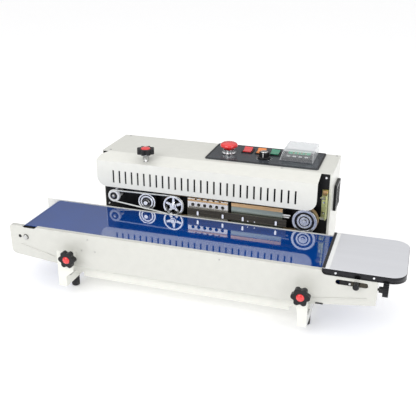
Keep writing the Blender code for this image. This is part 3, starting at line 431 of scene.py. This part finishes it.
def build_tray(finish):
    """A folded sheet: flat top, rolled edge and a flange that fades out at the belt's side."""
    low, high = extent("infeed_tray")
    radius, sheet, fold, fade = 30.0, 1.2, 2.0, 9.0
    steps = 14
    outline = [(low.x, low.y)] + [(low.x + fade * k / 6, low.y) for k in range(1, 7)]
    outline += arc((high.x - radius, low.y + radius), radius, 270, 360, steps)
    outline += arc((high.x - radius, high.y - radius), radius, 0, 90, steps)
    outline += [(low.x + fade * k / 6, high.y) for k in range(6, 0, -1)] + [(low.x, high.y)]
    bm = bmesh.new()

    def hem(x):
        """The flange's lower edge, rounded up towards the belt."""
        if x >= low.x + fade:
            return low.z
        return low.z + fade - (fade ** 2 - (low.x + fade - x) ** 2) ** 0.5
    top = [bm.verts.new((x, y, high.z)) for x, y in outline]
    bm.faces.new(top)
    rim = [bm.verts.new((x, y, min(hem(x), high.z - 3))) for x, y in outline]
    count = len(outline)
    for i in range(count):
        j = (i + 1) % count
        if outline[i][0] > low.x or outline[j][0] > low.x:
            bm.faces.new((top[i], top[j], rim[j], rim[i])).material_index = 1
    lip = [bm.verts.new((low.x, y, high.z - 3.5)) for y in (low.y, high.y)]
    bm.faces.new((top[0], lip[0], lip[1], top[-1]))
    bmesh.ops.remove_doubles(bm, verts=bm.verts, dist=0.01)
    tray = piece("infeed_tray_sheet", bm, [finish["stainless"], finish["dark_steel"]], "conveyor",
                 ["infeed_tray"])
    soften(tray, fold * 0.6, 3)
    shell = tray.modifiers.new("sheet", 'SOLIDIFY')
    shell.thickness = sheet * MM
    shell.offset = -1.0
    # The lip that bridges the belt and the tray: a black strip of painted shadow in the gap, then a white
    # strip that is a painted highlight on the rolled fold
    for name, x0, x1, lift, look, slot in (("tray_gap_painted_shadow", 0.0, 6.0, 0.5, "rubber", "rubber"),
                                           ("tray_fold_painted_highlight", 6.6, 14.5, 0.35, "white", "rope")):
        bm = bmesh.new()
        profile = [(low.x + x0, high.z), (low.x + x1, high.z), (low.x + x1 - 0.4, high.z + lift),
                   (low.x + x0 + 0.4, high.z + lift)]
        add_prism(bm, profile, "Y", low.y + 2, high.y - 2)
        piece(name, bm, finish[look], "conveyor")


def add_screw(bm, axis, at, face, radius=3.0, height=1.8, out=-1, segments=24):
    """A domed screw head with a round socket; out is the way it stands off the face."""
    profile = [(0, face + out * (height - 1.1)), (radius * 0.38, face + out * (height - 1.1)),
               (radius * 0.42, face + out * height), (radius * 0.72, face + out * height),
               (radius, face + out * height * 0.45), (radius, face - out * 0.1), (0, face - out * 0.1)]
    add_lathe(bm, profile, axis, at, segments)


SKIRT_FACE = -150.0             # the front skirt's outer face, along Y
TRAY_FACE = -151.5              # the tray flange's outer face, along Y


def build_skirt_details(finish):
    """Rivets and creases on the skirt, the tray's screws, and black pieces behind two openings, painted shade
    in them.
    """
    bm = bmesh.new()
    for x, z in ((-232, 132.4), (-247, 105.9), (-216, 106.6), (60, 132.4)):
        add_screw(bm, "Y", (x, z), SKIRT_FACE, 1.7, 1.0)
    piece("skirt_rivets", bm, finish["steel"], "conveyor")
    # Folded creases that run beside the skirt's tapered ends
    bm = bmesh.new()
    for (xa, za), (xb, zb) in (((-396, 99.2), (-314, 80.4)), ((250, 80.0), (352, 95.5))):
        along = Vector((xb - xa, zb - za)).normalized()
        across = Vector((-along.y, along.x)) * 1.5
        add_prism(bm, [(xa - across.x, za - across.y), (xb - across.x, zb - across.y),
                       (xb + across.x, zb + across.y), (xa + across.x, za + across.y)], "Y",
                  SKIRT_FACE - 1.2, SKIRT_FACE + 0.1)
    # The ridges take the skirt's darker cream, painted shade
    piece("skirt_creases", bm, finish["skirt_painted_shade"], "conveyor", bevel=0.7)
    bm = bmesh.new()
    for at in ((290.4, 141.2), (361.6, 142.0)):
        add_screw(bm, "Y", at, TRAY_FACE, 2.4, 1.2)
    piece("tray_screws", bm, finish["silver"], "conveyor")
    # Black rubber pieces at two openings in the skirt: painted shade
    bm = bmesh.new()
    add_prism(bm, rounded_rectangle((256, 271), (68.4, 71.8), 1.0, 3), "Y", SKIRT_FACE - 0.6,
              SKIRT_FACE + 0.2)
    add_lathe(bm, [(0, -148.4), (5.0, -148.4), (5.0, -147.6), (0, -147.6)], "Y", (-396.5, 118.0), 24)
    piece("skirt_openings_painted_shade", bm, finish["rubber"], "conveyor", bevel=0.2)


def build_slot_details(finish):
    """The screw head seen in the tension slot, and a black plate behind the slot's empty end, painted shade
    in the slot.
    """
    center = middle("tension_roller")
    bm = bmesh.new()
    add_screw(bm, "Y", (318.4, center.z - 1.5), -148.9, 2.2, 1.6)
    piece("slot_screw", bm, finish["white"], "tension_carriage")
    block = extent("tension_block")[0]
    # A black plate behind the slot's empty end: painted shade
    bm = bmesh.new()
    add_box(bm, (block.x - 22, block.y, block.z + 2.5), (block.x - 0.3, block.y + 0.8, block.z + 19))
    piece("slot_painted_shade", bm, finish["black_paint"], "tension_carriage", bevel=0.2)


def add_star_knob(bm, axis, at, radius, dip, lobes, back, front, dome, out):
    """A lobed grip with a domed cap, larger on a large knob; slot 0 is the grip, slot 1 the cap."""
    add_prism(bm, star_outline(radius, dip, lobes, 8), axis, back, front, at)
    cap = [(0, front + out * dome), (3.0, front + out * (dome - 0.25)), (5.6, front + out * (dome - 1.0)),
           (7.4, front + out * (dome - 2.2)), (8.0, front), (8.0, front - out * 0.5), (0, front - out * 0.5)]
    if radius > 19.5:
        cap = [(r * 1.35, h) for r, h in cap]
    add_lathe(bm, cap, axis, at, 40, slot=1)


def build_clamp_knobs(finish):
    for side in ("left", "right"):
        name = "clamp_knob_" + side
        low, high = extent(name)
        center = middle(name)
        bm = bmesh.new()
        add_star_knob(bm, "Y", (center.x, center.z), 19.0, 4.6, 6, -172.3, low.y + 3.5, 3.5, -1)
        knob = piece(name + "_moulded", bm, [finish["black_plastic"], finish["red"]], name,
                     [name], bevel=1.3, steps=3)
        bm = bmesh.new()
        add_lathe(bm, [(0, -172.0), (3, -172.0), (3, high.y), (0, high.y)], "Y", (center.x, center.z), 24)
        stud = piece(name + "_stud", bm, finish["steel"], name)
        stud.parent = knob


def build_tension_knob(finish):
    """A fluted grip on a collar."""
    low, high = extent("tension_knob")
    center = middle("tension_knob")
    x0, r = 372.3, 13.0
    bm = bmesh.new()
    add_lathe(bm, [(0, x0), (5.6, x0), (6, x0 + 0.6), (6.4, x0 + 7.5), (0, x0 + 7.5)], "X",
              (center.y, center.z), 40)
    add_prism(bm, star_outline(r, 1.3, 16, 6), "X", x0 + 7.2, high.x - 0.2, (center.y, center.z))
    add_lathe(bm, [(0, low.x), (2.5, low.x), (2.5, x0), (0, x0)], "X", (center.y, center.z), 24)
    piece("tension_knob_moulded", bm, finish["black_plastic"], "tension_knob",
          ["tension_knob"], bevel=0.7, steps=3)


# ---------------------------------------------------------------- base

def build_feet(finish):
    for end in ("front", "rear"):
        for side in ("left", "right"):
            name = f"foot_{end}_{side}"
            low, high = extent(name)
            center, r = middle(name), (high.x - low.x) / 2
            top = 24.4
            bm = bmesh.new()
            profile = [(0, 0), (r - 2.2, 0), (r - 0.9, 1.0), (r - 0.6, 2.4)]
            for k in range(3):
                z = 5.0 + k * 6.0
                profile += [(r - 0.3, z), (r - 0.9, z + 0.8), (r - 0.9, z + 1.8), (r - 0.2, z + 2.6)]
            profile += [(r, top - 1), (r - 0.8, top), (0, top)]
            add_lathe(bm, profile, "Z", (center.x, center.y), 40)
            piece(name + "_moulded", bm, finish["rubber"], "machine", [name])


# ---------------------------------------------------------------- wheels

def build_drive_wheels(finish):
    """A bright rim with five arms, a grooved tread and a capped hub."""
    for row in ("upper", "lower"):
        center, (low, high) = middle("drive_wheel_" + row), extent("drive_wheel_" + row)
        at, r = (center.x, center.z), (high.z - low.z) / 2
        front, back = low.y, high.y
        bm = bmesh.new()
        add_lathe(bm, [(19.6, 20.6), (20.4, 20), (r - 0.6, 20), (r, 20.6), (r, 21.2), (r - 3, 22.2),
                       (r - 3, 24.6), (r, 25.6), (r, 39.4), (r - 0.6, 40), (19.6, 40)], "Y", at, 64)
        add_lathe(bm, [(0, front), (4.2, front), (4.6, front + 0.4), (4.6, front + 2), (7.4, front + 2),
                       (8, front + 2.6), (8, 41), (6, 41), (6, back), (0, back)], "Y", at, 40)
        for k in range(5):
            angle = radians(90 + 72 * k)
            along, across = Vector((cos(angle), sin(angle))), Vector((-sin(angle), cos(angle)))
            arm = [along * 6 - across * 3.6, along * 20.2 - across * 2.2, along * 20.2 + across * 2.2,
                   along * 6 + across * 3.6]
            add_prism(bm, [tuple(p) for p in arm], "Y", 23, 30, at)
        piece(f"drive_wheel_{row}_turned", bm, finish["silver"], row + "_drive",
              ["drive_wheel_" + row], bevel=0.35)


def add_dark_rings(bm, at, rings, thick):
    """Flat rings of slot 1, each with its inner and outer radius and its place along Y."""
    for inner, outer, y in rings:
        add_lathe(bm, [(inner, y), (outer, y), (outer, y + thick), (inner, y + thick)], "Y", at, 64, slot=1)


def build_driven_wheels(finish):
    """Concentric steps round a hexagonal bolt."""
    for row in ("upper", "lower"):
        center, (low, high) = middle("driven_wheel_" + row), extent("driven_wheel_" + row)
        at, r = (center.x, center.z), (high.z - low.z) / 2
        bm = bmesh.new()
        add_lathe(bm, [(0, 19), (9.5, 19), (10, 19.5), (10, 22), (12, 22), (12, 20.5), (16, 20.5),
                       (16.4, 21), (16.4, 24), (21, 24), (21, 20.4), (21.4, 20), (r - 0.8, 20),
                       (r, 20.8), (r, 39.2), (r - 0.8, 40), (6, 40), (6, high.y), (0, high.y)], "Y", at, 64)
        add_prism(bm, arc((0, 0), 5.6, 30, 330, 5), "Y", low.y + 0.6, 19.4, at)
        add_lathe(bm, [(0, low.y), (2.2, low.y), (2.6, low.y + 0.8), (0, low.y + 0.8)], "Y", at, 24)
        add_dark_rings(bm, at, ((10.1, 11.9, 21.6), (16.5, 20.9, 23.2)), 0.7)
        piece(f"driven_wheel_{row}_turned", bm, [finish["grey_steel"], finish["black_plastic"]],
              row + "_driven", ["driven_wheel_" + row], bevel=0.3)


def build_emboss_wheels(finish):
    """The embossing wheel with its ring of type pins, and the rubber roller that presses on it."""
    center, (low, high) = middle("emboss_wheel"), extent("emboss_wheel")
    at, r = (center.x, center.z), (high.z - low.z) / 2
    bm = bmesh.new()
    add_lathe(bm, [(0, 19), (4.4, 19), (5, 19.6), (5, 23), (7.6, 23), (8, 23.4), (8, 28), (11.6, 28),
                   (11.6, 26.9), (12, 26.5), (15, 26.5), (15.4, 26.9), (15.4, 28), (17.6, 28), (17.6, 26.9),
                   (18, 26.5), (r - 0.4, 26.5), (r, 26.9), (r, 39.6), (r - 0.4, 40), (6, 40),
                   (6, high.y), (0, high.y)], "Y", at, 64)
    for k in range(24):
        angle = 2 * pi * k / 24
        add_lathe(bm, [(0, 26.1), (0.9, 26.1), (0.9, 27), (0, 27)], "Y",
                  (center.x + 13.5 * cos(angle), center.z + 13.5 * sin(angle)), 10)
    add_dark_rings(bm, at, ((5.1, 7.5, 22.6), (8.1, 11.5, 27.4), (15.5, 17.5, 27.4)), 0.4)
    piece("emboss_wheel_turned", bm, [finish["silver"], finish["black_plastic"]], "emboss_wheel",
          ["emboss_wheel"])
    center, (low, high) = middle("press_roller"), extent("press_roller")
    bm = bmesh.new()
    add_lathe(bm, [(0, 22), (4.4, 22), (5, 22.6), (5, 26.5), (r - 1, 26.5), (r, 27.5), (r, 39), (r - 1, 40),
                   (6, 40), (6, high.y), (0, high.y)], "Y", (center.x, center.z), 64)
    piece("press_roller_turned", bm, finish["rubber"], "press_roller", ["press_roller"])


def build_pulleys(finish):
    """White grooved pulleys with a dark bearing face and a bright bolt."""
    for row in ("upper", "lower"):
        center, (low, high) = middle("guide_pulley_" + row), extent("guide_pulley_" + row)
        at, r = (center.x, center.z), (high.z - low.z) / 2
        bm = bmesh.new()
        add_lathe(bm, [(9.2, 20.3), (9.5, 20), (r - 0.5, 20), (r, 20.5), (r, 21), (r - 2.8, 22),
                       (r - 2.8, 24.6), (r, 25.6), (r, 28.5), (r - 0.5, 29), (9.2, 29)], "Y", at, 48)
        add_lathe(bm, [(0, 21.2), (9.1, 21.2), (9.1, 28.5), (6, 28.5), (6, high.y), (0, high.y)], "Y", at,
                  40, slot=1)
        add_lathe(bm, [(0, 17), (1.6, 17), (3.8, 18), (4.4, 20), (4.4, 21.4), (0, 21.4)], "Y", at, 32,
                  slot=2)
        piece(f"guide_pulley_{row}_turned", bm, [finish["white"], finish["black_plastic"], finish["steel"]],
              row + "_pulley", ["guide_pulley_" + row])


def build_ropes(finish):
    for row in ("upper", "lower"):
        pulley, drive = middle("guide_pulley_" + row), middle("drive_wheel_" + row)
        points = loop_outline((pulley.x, pulley.z), 13.2, (drive.x, drive.z), 23.2, 36)
        curve = bpy.data.curves.new("rope_" + row, 'CURVE')
        curve.dimensions = '3D'
        curve.bevel_depth = 1.7 * MM
        curve.bevel_resolution = 4
        spline = curve.splines.new('POLY')
        spline.points.add(len(points) - 1)
        for point, (x, z) in zip(spline.points, points):
            point.co = (x * MM, 23.3 * MM, z * MM, 1)
        spline.use_cyclic_u = True
        curve.materials.append(finish["rope"])
        rope = bpy.data.objects.new("guide_rope_" + row + "_round", curve)
        bpy.context.collection.objects.link(rope)
        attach(rope, "machine")
        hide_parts("guide_rope_" + row)


def build_bands(finish):
    for row in ("upper", "lower"):
        drive, driven = middle("drive_wheel_" + row), middle("driven_wheel_" + row)
        low, high = extent("seal_band_" + row)
        r_drive, r_driven, thick = 25.2, 28.2, 0.5
        outer, inner = [loop_outline((drive.x, drive.z), r_drive - t, (driven.x, driven.z), r_driven - t, 40)
                        for t in (0, thick)]
        bm = bmesh.new()
        add_band(bm, outer, inner, low.y, high.y)
        piece(f"seal_band_{row}_woven", bm, finish["band"], "machine", ["seal_band_" + row])


# ---------------------------------------------------------------- sealing blocks

def build_block_details(finish):
    """Clamping rails along the tops of the blocks, studs on the guide strip, and the heater's leads."""
    cool_low, cool_high = extent("cooling_block_upper")
    heat_low, heat_high = extent("heater_block_upper")
    strip = extent("guide_strip")[0].z
    bm = bmesh.new()
    profile = [(cool_low.y + 0.5, cool_high.z), (cool_low.y + 14, cool_high.z),
               (cool_low.y + 14, cool_high.z + 1.8), (cool_low.y + 0.5, cool_high.z + 1.8)]
    for k in range(8):
        x = cool_low.x + 1 + 12 * k
        add_prism(bm, profile, "X", x, x + 8)
    add_prism(bm, [(cool_low.y - 1.0, cool_high.z - 6.6), (cool_low.y - 0.1, cool_high.z - 6.6),
                   (cool_low.y - 0.1, cool_high.z - 2.2), (cool_low.y - 1.0, cool_high.z - 2.2)], "X",
              cool_low.x, cool_high.x)
    piece("cooler_clips", bm, finish["tan"], "machine", bevel=0.3)
    bm = bmesh.new()
    z = heat_high.z
    add_prism(bm, [(heat_low.y - 1.2, z - 7), (heat_low.y - 0.1, z - 7), (heat_low.y - 0.1, z + 0.1),
                   (heat_low.y + 12, z + 0.1), (heat_low.y + 12, z + 1.4), (heat_low.y - 1.2, z + 1.4)], "X",
              heat_low.x, heat_high.x)
    piece("heater_rail", bm, finish["tan"], "machine", bevel=0.3)
    bm = bmesh.new()
    for x in (-40.7, 17.7, 63.6, 137.6):
        add_prism(bm, rounded_rectangle((x - 2.1, x + 2.1), (strip + 2, strip + 12), 1.8, 5), "Y",
                  13.4, 16.1)
    for x in (75.0, 90.0):
        add_lathe(bm, [(0, 14.8), (1.2, 14.8), (1.2, 16.1), (0, 16.1)], "Y", (x, strip + 3), 16)
    piece("strip_studs", bm, finish["chrome"], "machine")
    bm = bmesh.new()
    for y, z, r, end in ((26.0, 170.0, 1.6, 166.0), (30.0, 163.5, 1.9, 163.0)):
        add_lathe(bm, [(0, heat_high.x - 0.5), (r, heat_high.x - 0.5), (r, end), (r - 0.4, end + 0.5),
                       (0, end + 0.5)], "X", (y, z), 20)
    piece("heater_leads", bm, finish["white"], "machine")


def build_plate_details(finish):
    """Bearing collars and screws on the black front plate, and the plated bracket's fittings."""
    face = extent("front_plate")[0].y
    bm = bmesh.new()
    for x, z in ((234.1, 255.0), (-277.0, 133.0), (236.0, 76.0), (-277.0, 76.0)):
        add_screw(bm, "Y", (x, z), face, 2.6, 1.6)
    piece("front_plate_screws", bm, finish["silver"], "machine")
    b_low, b_high = extent("tension_bracket")
    bm = bmesh.new()
    for x, z in ((233.4, 224.5), (233.0, 200.0), (233.4, 176.0)):
        add_screw(bm, "Y", (x, z), b_high.y - 2.2, 2.6, 1.8)
    piece("bracket_screws", bm, finish["silver"], "machine")
    bm = bmesh.new()
    for z in (b_low.z + 8, b_high.z - 13):
        add_coil(bm, "X", (34, z), 3.2, 0.55, 229.0, 238.4, 5)
    piece("tension_springs", bm, finish["steel"], "machine")
    bm = bmesh.new()
    add_prism(bm, [(229, b_high.z - 12), (240.4, b_high.z - 12), (240.4, b_high.z - 1), (229, b_high.z - 1)],
              "Y", b_high.y - 6.5, b_high.y - 2.4)
    piece("bracket_cap", bm, finish["tan"], "machine", bevel=0.8)
    bm = bmesh.new()
    for node in ("drive_wheel_upper", "driven_wheel_upper", "emboss_wheel", "guide_pulley_upper"):
        center = middle(node)
        add_lathe(bm, [(6.6, face), (6.6, face - 4), (10.2, face - 4), (11, face - 3.2), (11, face)], "Y",
                  (center.x, center.z), 40)
    piece("bearing_collars", bm, finish["steel"], "machine")


# ---------------------------------------------------------------- head

def build_head_details(finish):
    """Screws on the rear panel, the casing's top and the fan guard, and the inlet's three pins."""
    back, top = extent("rear_panel")[1].y, extent("head_casing")[1].z
    bm = bmesh.new()
    for z in (75.0, 250.0):
        for x in (-276.0, -140.0, 0.0, 130.0, 236.0):
            add_screw(bm, "Y", (x, z), back, 3.0, 1.7, out=1)
    piece("rear_screws", bm, finish["steel"], "machine")
    bm = bmesh.new()
    for at in ((136.5, 57.0), (-270.0, 60.0), (-270.0, 176.0), (238.0, 176.0)):
        add_screw(bm, "Z", at, top, 2.6, 1.3, out=1)
    piece("top_screws", bm, finish["steel"], "machine")
    guard_low, guard_high = extent("fan_guard")
    bm = bmesh.new()
    for y in (guard_low.y + 4, guard_high.y - 4):
        for z in (guard_low.z + 4, guard_high.z - 4):
            add_screw(bm, "X", (y, z), guard_high.x, 2.0, 1.1, out=1)
    piece("guard_screws", bm, finish["steel"], "machine")
    inlet, center = extent("mains_inlet")[1].y, middle("mains_inlet")
    bm = bmesh.new()
    for dx, dz in ((-5.5, -1.5), (0, 2.5), (5.5, -1.5)):
        add_box(bm, (center.x + dx - 1, inlet - 16, center.z + dz - 2),
                (center.x + dx + 1, inlet - 3, center.z + dz + 2))
    piece("inlet_pins", bm, finish["silver"], "machine", bevel=0.4)


# ---------------------------------------------------------------- controls

ROCKER_Y = 142.0                # the rockers' shared pivot line
ROCKER_TILT = 10                # degrees


def build_panel_details(finish):
    """The black border of the panel's film, the frames of the rockers, and ticks for the speed knob."""
    low, high = extent("control_panel")
    top = high.z - 2.0
    bm = bmesh.new()
    outer = rounded_rectangle((low.x + 0.3, high.x - 0.3), (low.y + 0.3, high.y - 0.3), 4.7, 6)
    inner = rounded_rectangle((low.x + 3.6, high.x - 3.6), (low.y + 3.6, high.y - 3.6), 2.5, 6)
    add_frame(bm, outer, inner, top, top + 0.5)
    piece("panel_border", bm, finish["black_plastic"], "machine")
    bm = bmesh.new()
    for rocker in ("rocker_red", "rocker_orange", "rocker_green"):
        center = middle(rocker)
        x, y = center.x, ROCKER_Y
        outline = rounded_rectangle((x - 12.9, x + 12.9), (y - 15.4, y + 15.4), 1.6, 4)
        window = rounded_rectangle((x - 10.2, x + 10.2), (y - 12.9, y + 12.9), 0.6, 4)
        add_frame(bm, outline, window, top, top + 2.3)
    piece("rocker_frames", bm, finish["black_plastic"], "machine", bevel=0.4)
    center = middle("speed_knob")
    bm = bmesh.new()
    for k in range(11):
        angle = radians(225 - 27 * k)
        u, v = Vector((cos(angle), sin(angle))), Vector((-sin(angle), cos(angle)))
        start, end = u * 16.5, u * (19.5 if k % 5 == 0 else 18.3)
        corners = [start - v * 0.35, end - v * 0.35, end + v * 0.35, start + v * 0.35]
        add_prism(bm, [tuple(c) for c in corners], "Z", top - 0.05, top + 0.15, (center.x, center.y))
    piece("speed_ticks", bm, finish["white"], "machine")


def build_estop(finish):
    """A mushroom button with a raised ring on its face, over a ribbed bright collar."""
    low, high = extent("estop_button")
    collar_z = extent("estop_collar")[0].z
    center = middle("estop_button")
    at, cap = (center.x, center.y), high.z - 11.2
    bm = bmesh.new()
    add_lathe(bm, [(0, low.z), (5, low.z), (5, cap - 0.6), (12, cap - 0.6), (12.6, cap), (18.4, cap),
                   (19.6, cap + 1.2), (20, cap + 3), (19.8, cap + 5.4), (18.6, cap + 7.2), (16.6, cap + 8.6),
                   (13.8, cap + 9.6), (13.0, cap + 9.2), (12.0, cap + 9.4), (10.5, cap + 10.3),
                   (6.5, cap + 11.0), (0, cap + 11.2)], "Z", at, 64)
    piece("estop_mushroom", bm, finish["red"], "estop_button", ["estop_button"])
    foot, bore = cap - 15.3, 5.3
    bm = bmesh.new()
    add_lathe(bm, [(bore, collar_z), (11, collar_z), (11, foot), (15.4, foot), (16, foot + 0.6),
                   (16, foot + 2.2), (15.2, foot + 2.8), (12.4, foot + 2.8), (12.4, foot + 9),
                   (13.4, foot + 9.4), (13.4, foot + 10), (12.6, foot + 10.5), (bore, foot + 10.5)], "Z",
              at, 48)
    for k in range(14):
        angle = 2 * pi * k / 14
        add_lathe(bm, [(0, foot + 2.6), (1.5, foot + 2.6), (1.5, foot + 9.2), (0, foot + 9.2)], "Z",
                  (center.x + 12.7 * cos(angle), center.y + 12.7 * sin(angle)), 12)
    piece("estop_collar_ribbed", bm, finish["chrome"], "machine", ["estop_collar"])


def build_rockers(finish):
    """Each rocker as a moulded key with a dished face, tilted with its near half pressed."""
    tilt = radians(ROCKER_TILT)
    for name in ("red", "orange", "green"):
        node = "rocker_" + name
        center = middle(node)
        pivot = (ROCKER_Y, extent("control_panel")[1].z - 5.0)
        outline = [(-11, -8), (11, -8), (11.5, 8.9), (11.0, 9.5), (6.0, 8.0), (0, 7.2), (-6.0, 8.0),
                   (-11.0, 9.5), (-11.5, 8.9)]
        turned = [(pivot[0] + u * cos(tilt) - v * sin(tilt), pivot[1] + u * sin(tilt) + v * cos(tilt))
                  for u, v in outline]
        bm = bmesh.new()
        add_prism(bm, turned, "X", center.x - 9.6, center.x + 9.6)
        piece(node + "_key", bm, finish[name], node, [node], bevel=0.6, steps=3)


def build_speed_knob(finish):
    low, high = extent("speed_knob")
    center = middle("speed_knob")
    at, z = (center.x, center.y), high.z - 16
    bm = bmesh.new()
    add_lathe(bm, [(0, low.z), (3, low.z), (3, z), (13.4, z), (14, z + 0.6), (14, z + 2.6), (12.6, z + 4),
                   (11.2, z + 4.6), (0, z + 4.6)], "Z", at, 56)
    add_prism(bm, star_outline(11.2, 0.9, 18, 6), "Z", z + 4.2, z + 14.6, at)
    add_lathe(bm, [(0, z + 14.4), (8.6, z + 14.4), (8.6, z + 15.4), (8.0, z + 16), (0, z + 15.8)], "Z", at,
              48, slot=1)
    add_box(bm, (center.x - 0.7, center.y - 11.9, z + 5), (center.x + 0.7, center.y - 10.4, z + 14))
    for face in bm.faces[-6:]:
        face.material_index = 2
    piece("speed_knob_moulded", bm, [finish["black_plastic"], finish["chrome"], finish["white"]],
          "speed_knob", ["speed_knob"], bevel=0.3)


def build_pressure_knob(finish):
    low, high = extent("pressure_knob")
    center = middle("pressure_knob")
    at, back = (center.x, center.y), high.z - 15
    bm = bmesh.new()
    add_star_knob(bm, "Z", at, 20.0, 4.2, 8, back, back + 11.5, 3.5, 1)
    knob = piece("pressure_knob_moulded", bm, [finish["black_plastic"], finish["red"]], "pressure_knob",
                 ["pressure_knob"], bevel=1.3, steps=3)
    bm = bmesh.new()
    add_lathe(bm, [(0, low.z), (4, low.z), (4, back + 0.5), (0, back + 0.5)], "Z", at, 32)
    add_lathe(bm, [(4.1, back - 3.2), (8.5, back - 3.2), (9, back - 2.7), (9, back + 0.2), (4.1, back + 0.2)],
              "Z", at, 40)
    stem = piece("pressure_stem", bm, finish["chrome"], "pressure_knob")
    stem.parent = knob
    bm = bmesh.new()
    add_coil(bm, "Z", at, 6.2, 0.8, 262.5, back - 4.2, 4)
    piece("pressure_spring", bm, finish["steel"], "machine")


def build_controller_face(finish):
    """The bezel's window, a green display and four keys under the clear cover."""
    low, high = extent("temperature_controller")
    top = high.z
    bm = bmesh.new()
    add_prism(bm, rounded_rectangle((low.x + 8, high.x - 8), (high.y - 34, high.y - 8), 1.5, 4), "Z",
              top - 0.1, top + 0.4)
    piece("controller_window", bm, finish["display"], "machine", bevel=0.15)
    bm = bmesh.new()
    for k in range(4):
        x = low.x + 13 + 13.3 * k
        add_prism(bm, rounded_rectangle((x - 4, x + 4), (low.y + 8, low.y + 14), 1.2, 4), "Z", top - 0.1,
                  top + 1.0)
    piece("controller_keys", bm, finish["white"], "machine", bevel=0.3)
    bm = bmesh.new()
    for row, count in ((high.y - 16, 3), (high.y - 27, 4)):
        for k in range(count):
            x = low.x + 20 + 9 * k
            for dy in (-3.2, 0.0, 3.2):
                add_box(bm, (x - 2, row + dy - 0.45, top + 0.3), (x + 2, row + dy + 0.45, top + 0.55))
    piece("controller_segments", bm, finish["red"], "machine")
    bm = bmesh.new()
    outer = rounded_rectangle((low.x + 1, high.x - 1), (low.y + 1, high.y - 1), 2.5, 4)
    inner = rounded_rectangle((low.x + 5, high.x - 5), (low.y + 5, high.y - 5), 1.5, 4)
    add_frame(bm, outer, inner, top, top + 0.8)
    piece("controller_bezel", bm, finish["black_plastic"], "machine")


def build_cover_edge_highlights(finish):
    """White strips along the clear cover's edges, a painted highlight where the edges catch the light; its
    low-X wall leans in.
    """
    inset = Vector((0.12, 0.12, 0.12))
    low, high = extent("controller_cover")
    low, high = low + inset, high - inset
    lean, wide = 8.0, 0.7
    bm = bmesh.new()
    for y in (low.y, high.y - wide):
        add_box(bm, (low.x + lean, y, high.z - wide), (high.x, y + wide, high.z))
        add_box(bm, (high.x - wide, y, low.z), (high.x, y + wide, high.z))
        add_prism(bm, [(low.x, low.z), (low.x + wide, low.z), (low.x + lean + wide, high.z),
                       (low.x + lean, high.z)], "Y", y, y + wide)
    for x in (low.x + lean, high.x - wide):
        add_box(bm, (x, low.y, high.z - wide), (x + wide, high.y, high.z))
    # White plastic strips: painted highlight on the cover's edges
    piece("cover_edge_highlights", bm, finish["white"], "controller_cover")


# ---------------------------------------------------------------- studio

CAMERA_AT = (0.40698, -1.30098, 0.74657)
CAMERA_TURN = (67.31, -0.14, 17.91)     # degrees
LENS = 58.4
FLOOR_HALF = 30.0
WORLD_STRENGTH = 0.9
SKY = ((0.06, 0.85), (0.2, 0.12), (0.66, 1.0))      # grey by height: bright rim, dark band, bright top
FLOOR_GLOW = 0.30
LIGHTS = (("key", 35.0, 2.0, (-1.0, -2.4, 1.7)), ("fill", 12.0, 1.4, (2.0, -1.2, 1.0)),
          ("top", 2.0, 1.6, (0.0, 0.2, 2.0)))


def build_studio():
    """The camera, a pale glowing floor, a graded sky and three area lights."""
    camera_data = bpy.data.cameras.new("camera")
    camera_data.lens = LENS
    camera_data.sensor_width = 36.0
    camera_data.clip_start = 0.05
    camera = bpy.data.objects.new("camera", camera_data)
    bpy.context.collection.objects.link(camera)
    camera.location = CAMERA_AT
    camera.rotation_euler = Euler([radians(angle) for angle in CAMERA_TURN])
    bpy.context.scene.camera = camera
    bpy.context.scene.view_settings.view_transform = 'Standard'

    bm = bmesh.new()
    bm.faces.new([bm.verts.new((x * FLOOR_HALF, y * FLOOR_HALF, -0.0005))
                  for x, y in ((-1, -1), (1, -1), (1, 1), (-1, 1))])
    mesh = bpy.data.meshes.new("floor")
    bm.to_mesh(mesh)
    bm.free()
    floor = bpy.data.objects.new("floor", mesh)
    bpy.context.collection.objects.link(floor)
    mesh.materials.append(finish_material("pale_floor", (0.93, 0.93, 0.935), 0.6, vary=0.005, grain=60.0,
                                          bump=0.0, wear=3.0,
                                          sockets={"Emission Color": (1.0, 1.0, 1.0, 1.0),
                                                   "Emission Strength": FLOOR_GLOW}))

    world = bpy.data.worlds.new("world")
    bpy.context.scene.world = world
    world.use_nodes = True
    nodes, links = world.node_tree.nodes, world.node_tree.links
    background = nodes["Background"]
    background.inputs["Strength"].default_value = WORLD_STRENGTH
    direction, split = nodes.new("ShaderNodeTexCoord"), nodes.new("ShaderNodeSeparateXYZ")
    height = nodes.new("ShaderNodeValToRGB")
    stops = height.color_ramp.elements
    stops.new(0.2)
    for stop, (position, grey) in zip(stops, SKY):
        stop.position = position
        stop.color = (grey, grey, grey, 1.0)
    links.new(direction.outputs["Generated"], split.inputs["Vector"])
    links.new(split.outputs["Z"], height.inputs["Fac"])
    links.new(height.outputs["Color"], background.inputs["Color"])
    target = Vector((0.0, 0.0, 0.12))
    for name, energy, size, location in LIGHTS:
        light_data = bpy.data.lights.new(name, "AREA")
        light_data.energy = energy
        light_data.size = size
        light = bpy.data.objects.new(name, light_data)
        bpy.context.collection.objects.link(light)
        light.location = location
        light.rotation_euler = (target - light.location).to_track_quat("-Z", "Y").to_euler()


# ---------------------------------------------------------------- assembly

finish = make_finishes()
build_studio()
dress_cad(finish)
for builder in (build_belt, build_rollers, build_tray, build_skirt_details, build_slot_details,
                build_clamp_knobs, build_tension_knob, build_feet, build_drive_wheels, build_driven_wheels,
                build_emboss_wheels, build_pulleys, build_ropes, build_bands, build_block_details,
                build_plate_details, build_head_details, build_panel_details, build_estop, build_rockers,
                build_speed_knob, build_pressure_knob, build_controller_face, build_cover_edge_highlights):
    builder(finish)
